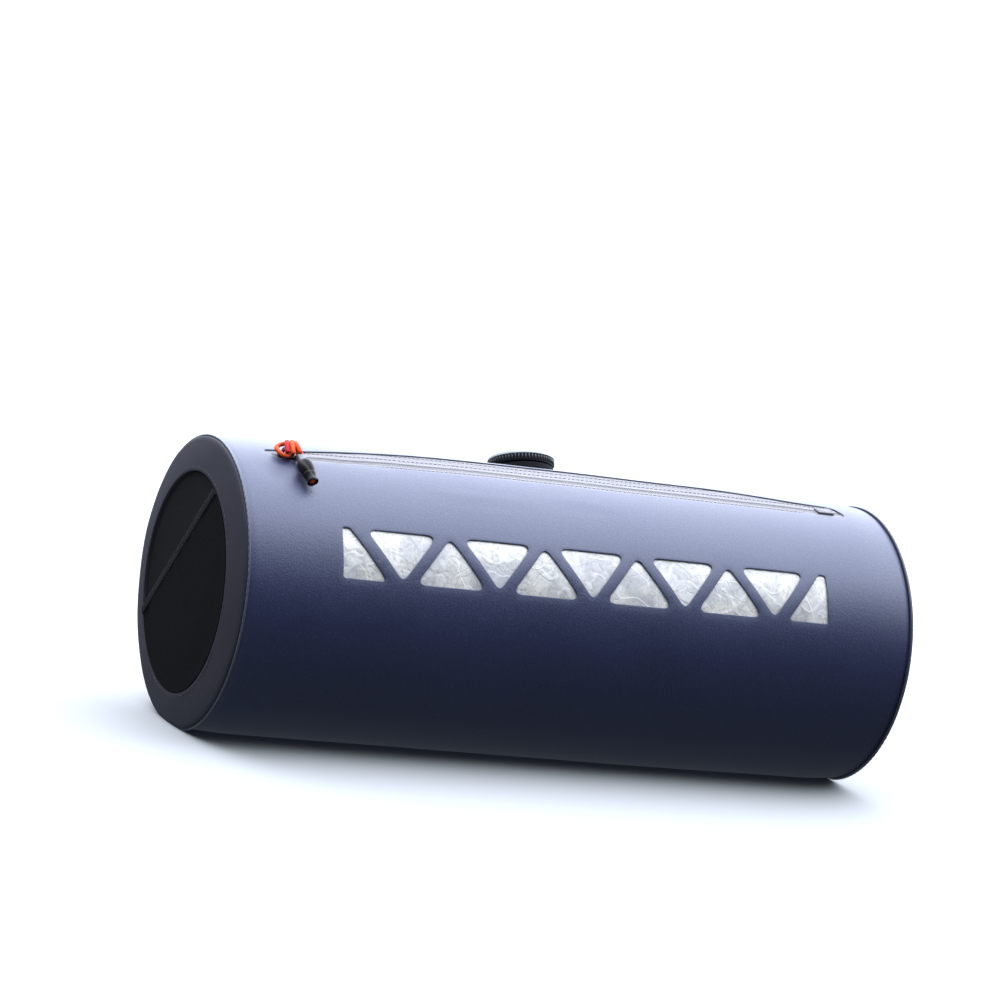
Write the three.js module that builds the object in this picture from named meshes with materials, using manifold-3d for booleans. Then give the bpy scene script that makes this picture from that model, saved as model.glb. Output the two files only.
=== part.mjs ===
// Cylindrical handlebar bag: a cloth tube with triangular windows, a zip along the top and a dial behind it.
// Millimetres. X runs along the bag, the front faces -Y, +Z is up, and the bag lies on the plane z = 0.
import * as THREE from "three";
import * as BufferGeometryUtils from "three/addons/utils/BufferGeometryUtils.js";
import Module from "manifold-3d";

const wasm = await Module();
wasm.setup();

// Main body
const bodyRadius = 68;
const bodyLength = 341;
const restDrop = 3; // how far the underside is pressed flat
const wall = 2.5;
const outerLayer = 1; // cloth left in front of the film and of the zip tapes
const fitGap = 0.3;
const roundSteps = 72;

// Ends
const capThickness = 2;
const capBulge = 3.4; // how far the ring round the panel stands out from the rim
const capRecess = 2.2; // how deep the panel and pocket lie in that ring
const weltWidth = 1.4;
const weltProud = 0.4;
const weltDepth = 2;
const panelRadius = 50;
const panelThickness = 0.8;
const pocketThickness = 1;
const hemWidth = 5;
const hemThickness = 1.6;
const hemFrontAngle = 68.6; // the two places where the pocket's straight edge meets its round edge
const hemRearAngle = 204;

// Windows, measured along the surface
const windowAngle = 26.5;
const windowBand = 22.4;
const windowPitch = 47.45;
const windowBase = 32.4;
const windowTall = 21.35;
const windowCorner = 2.2;
const windowsDown = 5;
const endWindowOuter = 123.8;
const endWindowInner = 103.2;
const filmThickness = 0.8;
const filmMargin = 6;

// Zip
const zipTapeThickness = 0.9;
const zipMeetAngle = 78;
const zipFrontAngle = 66;
const zipRearAngle = 95;
const zipTapeStart = 12; // from the left end of the bag
const zipTapeStop = 16; // from the right end of the bag
const zipMeetGap = 0.4;

// The zip slot's edges: along is the share of the bag's length from its left end,
// front and rear are the angles of its two edges above the front horizontal.
const zipSlot = [
  { along: 0.055, front: 75.9, rear: 77 },
  { along: 0.066, front: 70.8, rear: 77.6 },
  { along: 0.105, front: 70.2, rear: 78.6 },
  { along: 0.165, front: 71.2, rear: 82.6 },
  { along: 0.265, front: 72.6, rear: 87.4 },
  { along: 0.5, front: 73, rear: 90 },
  { along: 0.79, front: 73, rear: 87 },
  { along: 0.88, front: 73, rear: 83.4 },
  { along: 0.928, front: 73.2, rear: 82.6 },
  { along: 0.936, front: 74.2, rear: 75.6 },
];

// Zip slider, its place on the bag and its bridge
const sliderAlong = 28.5; // from the left end of the bag
const sliderAngle = 73.2;
const sliderLong = 9;
const sliderWide = 5.6;
const sliderThick = 1.2;
const bridgeSpan = 6;
const bridgeWide = 2.6;
const bridgeThick = 0.7;
const stopFromEnd = 31.5; // from the right end of the bag
const stopAngle = 77.2;
const stopLong = 9;
const stopWide = 6;
const stopThick = 0.9;

// Pull: cord, sleeve and grip
const cordDiameter = 2;
const cordClearance = 0.25;
const cordSides = 8;
const cordSteps = 56;
const ferruleWide = 4;
const ferruleTall = 3.6;
const ferruleLong = 5.6;
const gripLong = 13.6;
const gripRadius = 3.4;
const gripSides = 14;

// The cord's route, from one end in the sleeve to the other: along the bag from the slider,
// down the front from the slider, and height over the bag's surface.
const cordRoute = [
  [3.2, 4.4, 1.6],
  [3.3, 3.4, 1.65],
  [4.1, 2, 1.8],
  [4.7, -0.2, 2],
  [4.2, -2.6, 2.2],
  [2, -3.8, 1.9],
  [0.2, -2.2, 1.55],
  [0, 0, 1.45],
  [-0.2, 2.4, 1.55],
  [-1.6, 4.4, 1.8],
  [-3.8, 4.6, 2],
  [-5.4, 2.2, 2.2],
  [-5.6, -1, 2.4],
  [-3.8, -3, 2.9],
  [-1.4, -2.8, 4],
  [0.8, -0.8, 4.8],
  [2.5, 1.4, 4.6],
  [4.1, 2.6, 3.6],
  [4.8, 3.5, 3],
  [4.8, 4.4, 2.8],
];
const ferrulePlace = { along: 4, down: 7.6, over: 2.2 };
const gripPlace = { along: 2.9, down: 11, over: 4.1, endAlong: 4.9, endOver: 3.7 };

// The grip's outline: far is the share of its length, out is the share of its radius.
const gripProfile = [
  { far: 0, out: 0.4 },
  { far: 0.07, out: 0.76 },
  { far: 0.2, out: 0.96 },
  { far: 0.36, out: 1 },
  { far: 0.6, out: 0.88 },
  { far: 0.82, out: 0.74 },
  { far: 1, out: 0.68 },
];
const gripMouthShare = 0.44;
const gripMouthDeep = 3;

// Dial and its bracket
const dialAngle = 116;
const dialAlong = -1.6; // from the middle of the bag
const dialRadius = 16;
const dialHigh = 5.2;
const dialCrown = 1.4;
const dialBevel = 1.8;
const dialRibs = 30;
const dialRibDeep = 0.6;
const dialClearance = 0.3;
const bossRadius = 15.2;
const bossProud = 2.4; // how far the boss stands out from the bag
const bossSunk = 6; // how far the boss and spindle run down before the bag's shape trims them
const spindleRadius = 4;
const spindleHigh = 3;
const bracketLong = 66;
const bracketThick = 2;
const bracketStartAngle = 119;
const bracketEndAngle = 178;
const barRadius = 15.9;
const barClearance = 0.3;
const barAngle = 153;
const cradleThick = 2.4; // material between the plate and the bar
const cradleHigh = 15;
const cradleWide = 36;
const cradleLong = 12;
const cradleSpacing = 50;

const axisHeight = bodyRadius - restDrop;
const halfLength = bodyLength / 2;
const innerRadius = bodyRadius - wall;
const layerRadius = bodyRadius - outerLayer;
const bossTop = bodyRadius + bossProud;
const shellHalf = halfLength - capThickness - weltWidth - 2 * fitGap;

const materials = {
  navyCloth: new THREE.MeshStandardMaterial({ color: 0x2d3255, roughness: 0.45, metalness: 0 }),
  navyEnd: new THREE.MeshStandardMaterial({ color: 0x343442, roughness: 0.6, metalness: 0 }),
  welt: new THREE.MeshStandardMaterial({ color: 0x2a2c40, roughness: 0.35, metalness: 0 }),
  blackCloth: new THREE.MeshStandardMaterial({ color: 0x111214, roughness: 0.9, metalness: 0 }),
  film: new THREE.MeshStandardMaterial({ color: 0xd4d6de, roughness: 0.25, metalness: 0.3 }),
  zipTape: new THREE.MeshStandardMaterial({ color: 0x4a4d5e, roughness: 0.5, metalness: 0 }),
  zipMetal: new THREE.MeshStandardMaterial({ color: 0x1c1d22, roughness: 0.4, metalness: 0.6 }),
  cord: new THREE.MeshStandardMaterial({ color: 0xeb5032, roughness: 0.6, metalness: 0 }),
  ferrule: new THREE.MeshStandardMaterial({ color: 0x787d87, roughness: 0.5, metalness: 0 }),
  rubber: new THREE.MeshStandardMaterial({ color: 0x2a292d, roughness: 0.5, metalness: 0 }),
  plastic: new THREE.MeshStandardMaterial({ color: 0x17181c, roughness: 0.4, metalness: 0 }),
};

// A closed geometry as a solid, and back.
function toSolid(geometry) {
  const bare = geometry.index ? geometry.clone() : geometry;
  bare.deleteAttribute("normal");
  bare.deleteAttribute("uv");
  const merged = BufferGeometryUtils.mergeVertices(bare, 1e-4);
  const vertProperties = merged.attributes.position.array;
  const triVerts = new Uint32Array(merged.index.array);
  return new wasm.Manifold(new wasm.Mesh({ numProp: 3, vertProperties, triVerts }));
}

function toGeometry(solid) {
  const mesh = solid.getMesh();
  const geometry = new THREE.BufferGeometry();
  geometry.setAttribute("position", new THREE.BufferAttribute(mesh.vertProperties, 3));
  geometry.setIndex(new THREE.BufferAttribute(mesh.triVerts, 1));
  geometry.computeVertexNormals();
  return geometry;
}

function radians(degrees) {
  return (degrees * Math.PI) / 180;
}

// A point on the bag: x along it, an angle in radians above the front horizontal, a distance from the axis.
function onBag(x, angle, radius) {
  return new THREE.Vector3(x, -radius * Math.cos(angle), axisHeight + radius * Math.sin(angle));
}

// The angle, in radians, that a length along the surface covers.
function surfaceAngle(length) {
  return length / bodyRadius;
}

// The bag's section at a given radius, flat where it rests.
function sectionPoints(radius) {
  const flat = axisHeight - Math.max(0, bodyRadius - radius);
  const half = Math.acos(flat / radius);
  const points = [];
  for (let i = 0; i <= roundSteps; i++) {
    const angle = (3 * Math.PI) / 2 - half - ((2 * Math.PI - 2 * half) * i) / roundSteps;
    points.push(new THREE.Vector2(-radius * Math.cos(angle), axisHeight + radius * Math.sin(angle)));
  }
  return points;
}

// An outline in the Y and Z plane, extruded from one x to another.
function alongBag(shape, from, to, curveSegments = 12) {
  const settings = { depth: to - from, bevelEnabled: false, curveSegments };
  const geometry = new THREE.ExtrudeGeometry(shape, settings);
  const turn = new THREE.Matrix4().makeBasis(
    new THREE.Vector3(0, 1, 0),
    new THREE.Vector3(0, 0, 1),
    new THREE.Vector3(1, 0, 0),
  );
  geometry.applyMatrix4(turn);
  geometry.translate(from, 0, 0);
  return geometry;
}

function sectionTube(outer, inner, from, to) {
  const shape = new THREE.Shape(sectionPoints(outer));
  if (inner > 0) shape.holes.push(new THREE.Path(sectionPoints(inner)));
  return alongBag(shape, from, to);
}

// A curved sheet between two radii and two angles.
function curvedSheet(inner, outer, startAngle, endAngle, from, to) {
  const steps = Math.max(2, Math.ceil((endAngle - startAngle) / radians(360 / roundSteps)));
  const points = [];
  for (let i = 0; i <= steps; i++) {
    const angle = startAngle + ((endAngle - startAngle) * i) / steps;
    points.push(new THREE.Vector2(-outer * Math.cos(angle), axisHeight + outer * Math.sin(angle)));
  }
  for (let i = steps; i >= 0; i--) {
    const angle = startAngle + ((endAngle - startAngle) * i) / steps;
    points.push(new THREE.Vector2(-inner * Math.cos(angle), axisHeight + inner * Math.sin(angle)));
  }
  return alongBag(new THREE.Shape(points), from, to);
}

// An outline drawn on the surface, x along the bag and y up the surface from an angle, between two radii.
function throughWall(shape, angle, inner, outer) {
  const settings = { depth: outer - inner, bevelEnabled: false, curveSegments: 3 };
  const geometry = new THREE.ExtrudeGeometry(shape, settings);
  const position = geometry.attributes.position;
  for (let i = 0; i < position.count; i++) {
    const radius = inner + position.getZ(i);
    const point = onBag(position.getX(i), radians(angle) + surfaceAngle(position.getY(i)), radius);
    position.setXYZ(i, point.x, point.y, point.z);
  }
  return geometry;
}

// A polygon with each corner rounded, over at most a share of its shorter side.
const mostRounding = 0.4;
function roundedShape(corners, radius) {
  const shape = new THREE.Shape();
  corners.forEach((corner, i) => {
    const before = corners[(i + corners.length - 1) % corners.length];
    const after = corners[(i + 1) % corners.length];
    const toBefore = before.clone().sub(corner).normalize();
    const toAfter = after.clone().sub(corner).normalize();
    const halfTurn = toBefore.angleTo(toAfter) / 2;
    const shorter = Math.min(before.distanceTo(corner), after.distanceTo(corner));
    const back = Math.min(radius / Math.tan(halfTurn), shorter * mostRounding);
    const start = corner.clone().addScaledVector(toBefore, back);
    const end = corner.clone().addScaledVector(toAfter, back);
    if (i === 0) shape.moveTo(start.x, start.y);
    else shape.lineTo(start.x, start.y);
    shape.quadraticCurveTo(corner.x, corner.y, end.x, end.y);
  });
  shape.closePath();
  return shape;
}

// One triangular window, pointing up or down.
function triangleWindow(x, pointsUp) {
  const side = pointsUp ? 1 : -1;
  const base = (-side * windowBand) / 2;
  const corners = [
    new THREE.Vector2(x - windowBase / 2, base),
    new THREE.Vector2(x + windowBase / 2, base),
    new THREE.Vector2(x, base + side * windowTall),
  ];
  return roundedShape(corners, windowCorner);
}

// The last window at either end, whose outer side is upright.
function endWindow(side) {
  const lean = (windowBase / 2 / windowTall) * windowBand;
  const corners = [
    new THREE.Vector2(side * endWindowInner, -windowBand / 2),
    new THREE.Vector2(side * endWindowOuter, -windowBand / 2),
    new THREE.Vector2(side * endWindowOuter, windowBand / 2),
    new THREE.Vector2(side * (endWindowInner + lean), windowBand / 2),
  ];
  return roundedShape(corners, windowCorner / 2);
}

function windowShapes() {
  const shapes = [endWindow(-1), endWindow(1)];
  const middle = (windowsDown - 1) / 2;
  for (let i = 0; i < windowsDown; i++) {
    shapes.push(triangleWindow((i - middle) * windowPitch, false));
    if (i < windowsDown - 1) shapes.push(triangleWindow((i - middle + 0.5) * windowPitch, true));
  }
  return shapes;
}

function zipSlotShape() {
  const toPoint = (row, edge) =>
    new THREE.Vector2(row.along * bodyLength - halfLength, bodyRadius * radians(row[edge] - zipMeetAngle));
  const front = zipSlot.map((row) => toPoint(row, "front"));
  const rear = zipSlot.map((row) => toPoint(row, "rear")).reverse();
  return new THREE.Shape([...front, ...rear]);
}

// The film's half width and half height, and the zip tapes' ends, which their rebates also follow.
const filmHalfLength = endWindowOuter + filmMargin;
const filmHalfAngle = surfaceAngle(windowBand / 2 + filmMargin);
const tapeFrom = zipTapeStart - halfLength;
const tapeTo = halfLength - zipTapeStop;

function bodyShell() {
  const cutInner = innerRadius - wall;
  const cutOuter = bodyRadius + wall;
  const edge = surfaceAngle(fitGap);
  const filmFrom = radians(windowAngle) - filmHalfAngle - edge;
  const filmTo = radians(windowAngle) + filmHalfAngle + edge;
  const filmHalf = filmHalfLength + fitGap;
  const zipFrom = radians(zipFrontAngle) - edge;
  const zipTo = radians(zipRearAngle) + edge;
  let shell = toSolid(sectionTube(bodyRadius, innerRadius, -shellHalf, shellHalf));
  shell = shell.subtract(toSolid(curvedSheet(cutInner, layerRadius, filmFrom, filmTo, -filmHalf, filmHalf)));
  shell = shell.subtract(
    toSolid(curvedSheet(cutInner, layerRadius, zipFrom, zipTo, tapeFrom - fitGap, tapeTo + fitGap)),
  );
  for (const shape of windowShapes()) {
    shell = shell.subtract(toSolid(throughWall(shape, windowAngle, cutInner, cutOuter)));
  }
  shell = shell.subtract(toSolid(throughWall(zipSlotShape(), zipMeetAngle, cutInner, cutOuter)));
  return toGeometry(shell);
}

function windowFilm() {
  const outer = layerRadius - fitGap;
  const middle = radians(windowAngle);
  const from = middle - filmHalfAngle;
  const to = middle + filmHalfAngle;
  return curvedSheet(outer - filmThickness, outer, from, to, -filmHalfLength, filmHalfLength);
}

function zipTape(startAngle, endAngle) {
  const outer = layerRadius - fitGap;
  return curvedSheet(outer - zipTapeThickness, outer, startAngle, endAngle, tapeFrom, tapeTo);
}

// The ends are made for the left side, and the right side is the same turned round.
// The cap is a shallow cone from its rim to the panel, cut flat with the bag where it rests.
function endCap() {
  const slope = capBulge / (bodyRadius - panelRadius);
  const recessRadius = panelRadius + fitGap;
  const lip = slope * (bodyRadius - recessRadius);
  const floor = lip - capRecess;
  const ringInner = recessRadius + capThickness;
  const reach = bodyRadius + wall;
  const profile = [
    new THREE.Vector2(0, floor - capThickness),
    new THREE.Vector2(recessRadius, floor - capThickness),
    new THREE.Vector2(ringInner + capThickness, slope * (bodyRadius - ringInner) - capThickness),
    new THREE.Vector2(bodyRadius, -capThickness),
    new THREE.Vector2(reach, -capThickness),
    new THREE.Vector2(reach, 0),
    new THREE.Vector2(bodyRadius, 0),
    new THREE.Vector2(recessRadius, lip),
    new THREE.Vector2(recessRadius, floor),
    new THREE.Vector2(0, floor),
  ];
  const cone = new THREE.LatheGeometry(profile, roundSteps);
  cone.rotateZ(Math.PI / 2);
  cone.translate(-halfLength, 0, axisHeight);
  const block = sectionTube(bodyRadius, 0, -halfLength - 2 * capBulge, -halfLength + 2 * capThickness);
  return toGeometry(toSolid(cone).intersect(toSolid(block)));
}

// The distance from the rim's plane out to the bottom of the recess in the cap.
function recessFloor() {
  return (capBulge * (bodyRadius - panelRadius - fitGap)) / (bodyRadius - panelRadius) - capRecess;
}

function endWelt() {
  const from = -halfLength + capThickness + fitGap;
  return sectionTube(bodyRadius + weltProud, bodyRadius - weltDepth, from, from + weltWidth);
}

function endPanel() {
  const to = -halfLength - recessFloor() - fitGap;
  return toGeometry(panelDisc(to - panelThickness, to));
}

// The pocket's straight edge in the Y and Z plane: its middle, its direction and the way into the pocket.
function pocketEdge() {
  const end = (degrees) => {
    const place = onBag(0, radians(degrees), panelRadius);
    return new THREE.Vector2(place.y, place.z);
  };
  const front = end(hemFrontAngle);
  const rear = end(hemRearAngle);
  const middle = front.clone().add(rear).multiplyScalar(0.5);
  const along = rear.clone().sub(front);
  const into = new THREE.Vector2(0, axisHeight).sub(middle).normalize();
  return { middle, along, into };
}

// A flat bar that follows the pocket's edge, from one distance to another into the pocket.
function edgeBar(near, far, from, to) {
  const { middle, along, into } = pocketEdge();
  const half = along.clone().multiplyScalar(0.5);
  const corner = (side, distance) =>
    middle.clone().addScaledVector(half, side).addScaledVector(into, distance);
  const bar = new THREE.Shape([corner(-1, near), corner(1, near), corner(1, far), corner(-1, far)]);
  return alongBag(bar, from, to);
}

function panelDisc(from, to) {
  const disc = new THREE.Shape().absarc(0, axisHeight, panelRadius, 0, 2 * Math.PI);
  return toSolid(alongBag(disc, from, to, roundSteps / 2));
}

function endPocket() {
  const to = -halfLength - recessFloor() - 2 * fitGap - panelThickness;
  const from = to - pocketThickness;
  const cutter = toSolid(edgeBar(-2 * panelRadius, hemWidth + fitGap, from - 1, to + 1));
  return toGeometry(panelDisc(from, to).subtract(cutter));
}

function pocketHem() {
  const to = -halfLength - recessFloor() - 2 * fitGap - panelThickness;
  const from = to - hemThickness;
  return toGeometry(panelDisc(from, to).intersect(toSolid(edgeBar(0, hemWidth, from - 1, to + 1))));
}

// The slider's own frame: X along the bag, Y up the surface, Z away from the bag, with z = 0 on the zip tape.
function slottedBlock(long, wide, thick, corner) {
  const half = new THREE.Vector2(long / 2, wide / 2);
  const corners = [
    new THREE.Vector2(-half.x, -half.y),
    new THREE.Vector2(half.x, -half.y),
    new THREE.Vector2(half.x, half.y),
    new THREE.Vector2(-half.x, half.y),
  ];
  const settings = { depth: thick, bevelEnabled: false, curveSegments: 3 };
  return new THREE.ExtrudeGeometry(roundedShape(corners, corner), settings);
}

function zipSlider() {
  const hole = cordDiameter + 2 * cordClearance;
  const bridgeTall = hole + bridgeThick;
  const body = toSolid(slottedBlock(sliderLong, sliderWide, sliderThick, sliderWide / 3));
  const arch = new THREE.Shape();
  arch.moveTo(-bridgeSpan / 2, -sliderThick / 2);
  arch.lineTo(bridgeSpan / 2, -sliderThick / 2);
  arch.lineTo(bridgeSpan / 2, bridgeTall * 0.6);
  arch.lineTo(bridgeSpan / 2 - bridgeThick, bridgeTall);
  arch.lineTo(-bridgeSpan / 2 + bridgeThick, bridgeTall);
  arch.lineTo(-bridgeSpan / 2, bridgeTall * 0.6);
  arch.closePath();
  const opening = new THREE.Path();
  const inside = bridgeSpan / 2 - bridgeThick;
  opening.moveTo(-inside, 0);
  opening.lineTo(-inside, hole);
  opening.lineTo(inside, hole);
  opening.lineTo(inside, 0);
  opening.closePath();
  arch.holes.push(opening);
  const bridge = new THREE.ExtrudeGeometry(arch, { depth: bridgeWide, bevelEnabled: false });
  bridge.rotateX(Math.PI / 2);
  bridge.translate(0, bridgeWide / 2, sliderThick);
  return toGeometry(body.add(toSolid(bridge)));
}

function zipEndStop() {
  return slottedBlock(stopLong, stopWide, stopThick, stopWide / 5);
}

// A place near the slider, given along the bag, down the front and over the surface.
function nearSlider(along, down, over) {
  const angle = radians(sliderAngle) - surfaceAngle(down);
  return onBag(sliderAlong - halfLength + along, angle, bodyRadius + over);
}

function zipPullCord() {
  const curve = new THREE.CatmullRomCurve3(cordRoute.map((place) => nearSlider(...place)));
  const section = new THREE.Shape().absarc(0, 0, cordDiameter / 2, 0, 2 * Math.PI);
  const settings = { steps: cordSteps, extrudePath: curve, curveSegments: cordSides / 2 };
  return new THREE.ExtrudeGeometry(section, settings);
}

function zipPullFerrule() {
  return slottedBlock(ferruleWide, ferruleTall, ferruleLong, ferruleWide / 3);
}

function zipPullGrip() {
  const outside = gripProfile.map((row) => new THREE.Vector2(row.out * gripRadius, row.far * gripLong));
  const mouth = gripMouthShare * gripRadius;
  const profile = [
    new THREE.Vector2(0, 0),
    ...outside,
    new THREE.Vector2(mouth, gripLong),
    new THREE.Vector2(mouth, gripLong - gripMouthDeep),
    new THREE.Vector2(0, gripLong - gripMouthDeep),
  ];
  return new THREE.LatheGeometry(profile, gripSides);
}

function barBracket() {
  const plateInner = bodyRadius + fitGap;
  const plateOuter = plateInner + bracketThick;
  const from = radians(bracketStartAngle);
  const to = radians(bracketEndAngle);
  const half = bracketLong / 2;
  const bossFoot = bodyRadius - bossSunk;
  const seat = curvedSheet(plateInner, plateOuter, from, to, -half, half);
  let bracket = toSolid(seat);
  const boss = new THREE.CylinderGeometry(bossRadius, bossRadius, bossTop - bossFoot, roundSteps / 2);
  boss.rotateX(Math.PI / 2);
  boss.translate(0, 0, (bossTop + bossFoot) / 2);
  const spindleTall = spindleHigh + bossSunk / 3;
  const spindle = new THREE.CylinderGeometry(spindleRadius, spindleRadius, spindleTall, roundSteps / 3);
  spindle.rotateX(Math.PI / 2);
  spindle.translate(0, 0, bossTop + spindleHigh - spindleTall / 2);
  const turn = new THREE.Matrix4().makeRotationX(Math.PI / 2 - radians(dialAngle));
  for (const round of [boss, spindle]) {
    round.applyMatrix4(turn);
    round.translate(dialAlong, 0, axisHeight);
    bracket = bracket.add(toSolid(round));
  }
  const cradleTurn = new THREE.Matrix4().makeRotationX(Math.PI / 2 - radians(barAngle));
  const cradleBase = plateOuter - bracketThick / 2;
  for (const side of [-1, 1]) {
    const block = new THREE.BoxGeometry(cradleLong, cradleWide, cradleHigh);
    block.translate((side * cradleSpacing) / 2, 0, cradleBase + cradleHigh / 2);
    block.applyMatrix4(cradleTurn);
    block.translate(0, 0, axisHeight);
    bracket = bracket.add(toSolid(block));
  }
  const barCut = barRadius + barClearance;
  const bar = new THREE.CylinderGeometry(barCut, barCut, 2 * bracketLong, roundSteps / 2);
  bar.rotateZ(Math.PI / 2);
  const centre = onBag(0, radians(barAngle), plateOuter + cradleThick + barRadius);
  bar.translate(centre.x, centre.y, centre.z);
  const body = new THREE.CylinderGeometry(plateInner, plateInner, 2 * bracketLong, 2 * roundSteps);
  body.rotateZ(Math.PI / 2);
  body.translate(0, 0, axisHeight);
  return toGeometry(bracket.subtract(toSolid(bar)).subtract(toSolid(body)));
}

// The dial in its own frame, with z = 0 on the bracket's boss.
function dialKnob() {
  const outline = [];
  const stepsPerRib = 4;
  for (let i = 0; i < dialRibs * stepsPerRib; i++) {
    const angle = (2 * Math.PI * i) / (dialRibs * stepsPerRib);
    const radius = i % stepsPerRib < 2 ? dialRadius : dialRadius - dialRibDeep;
    outline.push(new THREE.Vector2(radius * Math.cos(angle), radius * Math.sin(angle)));
  }
  const side = new THREE.ExtrudeGeometry(new THREE.Shape(outline), { depth: dialHigh, bevelEnabled: false });
  const shoulder = dialRadius - dialBevel;
  const crownProfile = [
    new THREE.Vector2(0, 0),
    new THREE.Vector2(dialRadius + 1, 0),
    new THREE.Vector2(dialRadius + 1, dialHigh - dialBevel * 0.7),
    new THREE.Vector2(dialRadius, dialHigh - dialBevel * 0.7),
    new THREE.Vector2(shoulder, dialHigh),
    new THREE.Vector2(shoulder * 0.7, dialHigh),
    new THREE.Vector2(0, dialHigh),
  ];
  const envelope = new THREE.LatheGeometry(crownProfile, roundSteps / 2);
  envelope.rotateX(Math.PI / 2);
  const capProfile = [
    new THREE.Vector2(0, dialHigh - 1),
    new THREE.Vector2(shoulder * 0.8, dialHigh - 1),
    new THREE.Vector2(shoulder * 0.8, dialHigh),
    new THREE.Vector2(shoulder * 0.55, dialHigh + dialCrown * 0.7),
    new THREE.Vector2(0, dialHigh + dialCrown),
  ];
  const crown = new THREE.LatheGeometry(capProfile, roundSteps / 2);
  crown.rotateX(Math.PI / 2);
  const boreRadius = spindleRadius + dialClearance;
  const boreDeep = spindleHigh + dialClearance;
  const bore = new THREE.CylinderGeometry(boreRadius, boreRadius, 2 * boreDeep, roundSteps / 3);
  bore.rotateX(Math.PI / 2);
  return toGeometry(toSolid(side).intersect(toSolid(envelope)).add(toSolid(crown)).subtract(toSolid(bore)));
}

function piece(name, geometry, material) {
  const mesh = new THREE.Mesh(geometry, material);
  mesh.name = name;
  return mesh;
}

// A group whose Z points away from the bag's axis, its Y up the surface, at a place on the bag.
function surfaceGroup(x, angle, radius) {
  const group = new THREE.Group();
  group.position.copy(onBag(x, radians(angle), radius));
  group.rotation.x = Math.PI / 2 - radians(angle);
  return group;
}

// A group whose given axis points from one place to another.
function pointedGroup(from, to, axis) {
  const group = new THREE.Group();
  group.position.copy(from);
  group.quaternion.setFromUnitVectors(axis, to.clone().sub(from).normalize());
  return group;
}

const bag = new THREE.Group();

const body = new THREE.Group();
body.add(piece("body_shell", bodyShell(), materials.navyCloth));
body.add(piece("window_film", windowFilm(), materials.film));
bag.add(body);

const endPieces = [
  ["end_cap", endCap, materials.navyEnd],
  ["end_welt", endWelt, materials.welt],
  ["end_panel", endPanel, materials.blackCloth],
  ["end_pocket", endPocket, materials.blackCloth],
  ["pocket_hem", pocketHem, materials.blackCloth],
];
for (const side of ["left", "right"]) {
  const end = new THREE.Group();
  if (side === "right") end.scale.x = -1;
  for (const [name, make, material] of endPieces) end.add(piece(`${name}_${side}`, make(), material));
  bag.add(end);
}

const zip = new THREE.Group();
const meetEdge = surfaceAngle(zipMeetGap / 2);
const frontTape = zipTape(radians(zipFrontAngle), radians(zipMeetAngle) - meetEdge);
const rearTape = zipTape(radians(zipMeetAngle) + meetEdge, radians(zipRearAngle));
zip.add(piece("zip_tape_front", frontTape, materials.zipTape));
zip.add(piece("zip_tape_rear", rearTape, materials.zipTape));
const stopPlace = surfaceGroup(halfLength - stopFromEnd, stopAngle, layerRadius);
stopPlace.add(piece("zip_end_stop", zipEndStop(), materials.zipMetal));
const sliderPlace = surfaceGroup(sliderAlong - halfLength, sliderAngle, layerRadius);
sliderPlace.add(piece("zip_slider", zipSlider(), materials.zipMetal));
zip.add(stopPlace, sliderPlace);
bag.add(zip);

const pull = new THREE.Group();
pull.add(piece("zip_pull_cord", zipPullCord(), materials.cord));
const sleeve = ferrulePlace;
const sleeveTop = nearSlider(sleeve.along, sleeve.down - ferruleLong / 2, sleeve.over);
const sleeveAngle = radians(sliderAngle) - surfaceAngle(sleeve.down);
const sleeveGroup = new THREE.Group();
sleeveGroup.position.copy(sleeveTop);
sleeveGroup.rotation.x = Math.PI - sleeveAngle;
sleeveGroup.add(piece("zip_pull_ferrule", zipPullFerrule(), materials.ferrule));
const gripTop = nearSlider(gripPlace.along, gripPlace.down, gripPlace.over);
const gripEnd = nearSlider(gripPlace.endAlong, gripPlace.down + gripLong, gripPlace.endOver);
const gripGroup = pointedGroup(gripTop, gripEnd, new THREE.Vector3(0, 1, 0));
gripGroup.add(piece("zip_pull_grip", zipPullGrip(), materials.rubber));
pull.add(sleeveGroup, gripGroup);
bag.add(pull);

const mount = new THREE.Group();
mount.add(piece("bar_bracket", barBracket(), materials.plastic));
const dialPlace = surfaceGroup(dialAlong, dialAngle, bossTop + dialClearance);
dialPlace.add(piece("dial_knob", dialKnob(), materials.plastic));
mount.add(dialPlace);
bag.add(mount);

export default bag;
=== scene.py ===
# Looks of the handlebar bag. Everything is in metres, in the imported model's own frame:
# X runs along the bag, the windows face -Y, +Z is up and the bag lies on the floor at z = 0.
import math

import bmesh
import bpy
from mathutils import Matrix, Vector, geometry, noise


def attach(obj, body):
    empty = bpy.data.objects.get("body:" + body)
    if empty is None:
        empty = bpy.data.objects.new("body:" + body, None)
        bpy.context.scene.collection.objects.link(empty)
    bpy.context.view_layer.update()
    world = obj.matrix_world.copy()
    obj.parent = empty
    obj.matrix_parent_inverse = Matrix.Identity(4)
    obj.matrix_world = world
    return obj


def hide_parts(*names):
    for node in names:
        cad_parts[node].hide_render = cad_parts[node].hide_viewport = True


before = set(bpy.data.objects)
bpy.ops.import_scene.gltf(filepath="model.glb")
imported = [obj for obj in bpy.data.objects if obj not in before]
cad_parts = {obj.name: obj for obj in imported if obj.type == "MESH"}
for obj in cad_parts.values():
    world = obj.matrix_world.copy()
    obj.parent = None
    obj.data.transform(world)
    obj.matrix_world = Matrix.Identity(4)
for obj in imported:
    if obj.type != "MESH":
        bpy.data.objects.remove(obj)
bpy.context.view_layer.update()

mm = 0.001

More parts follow.
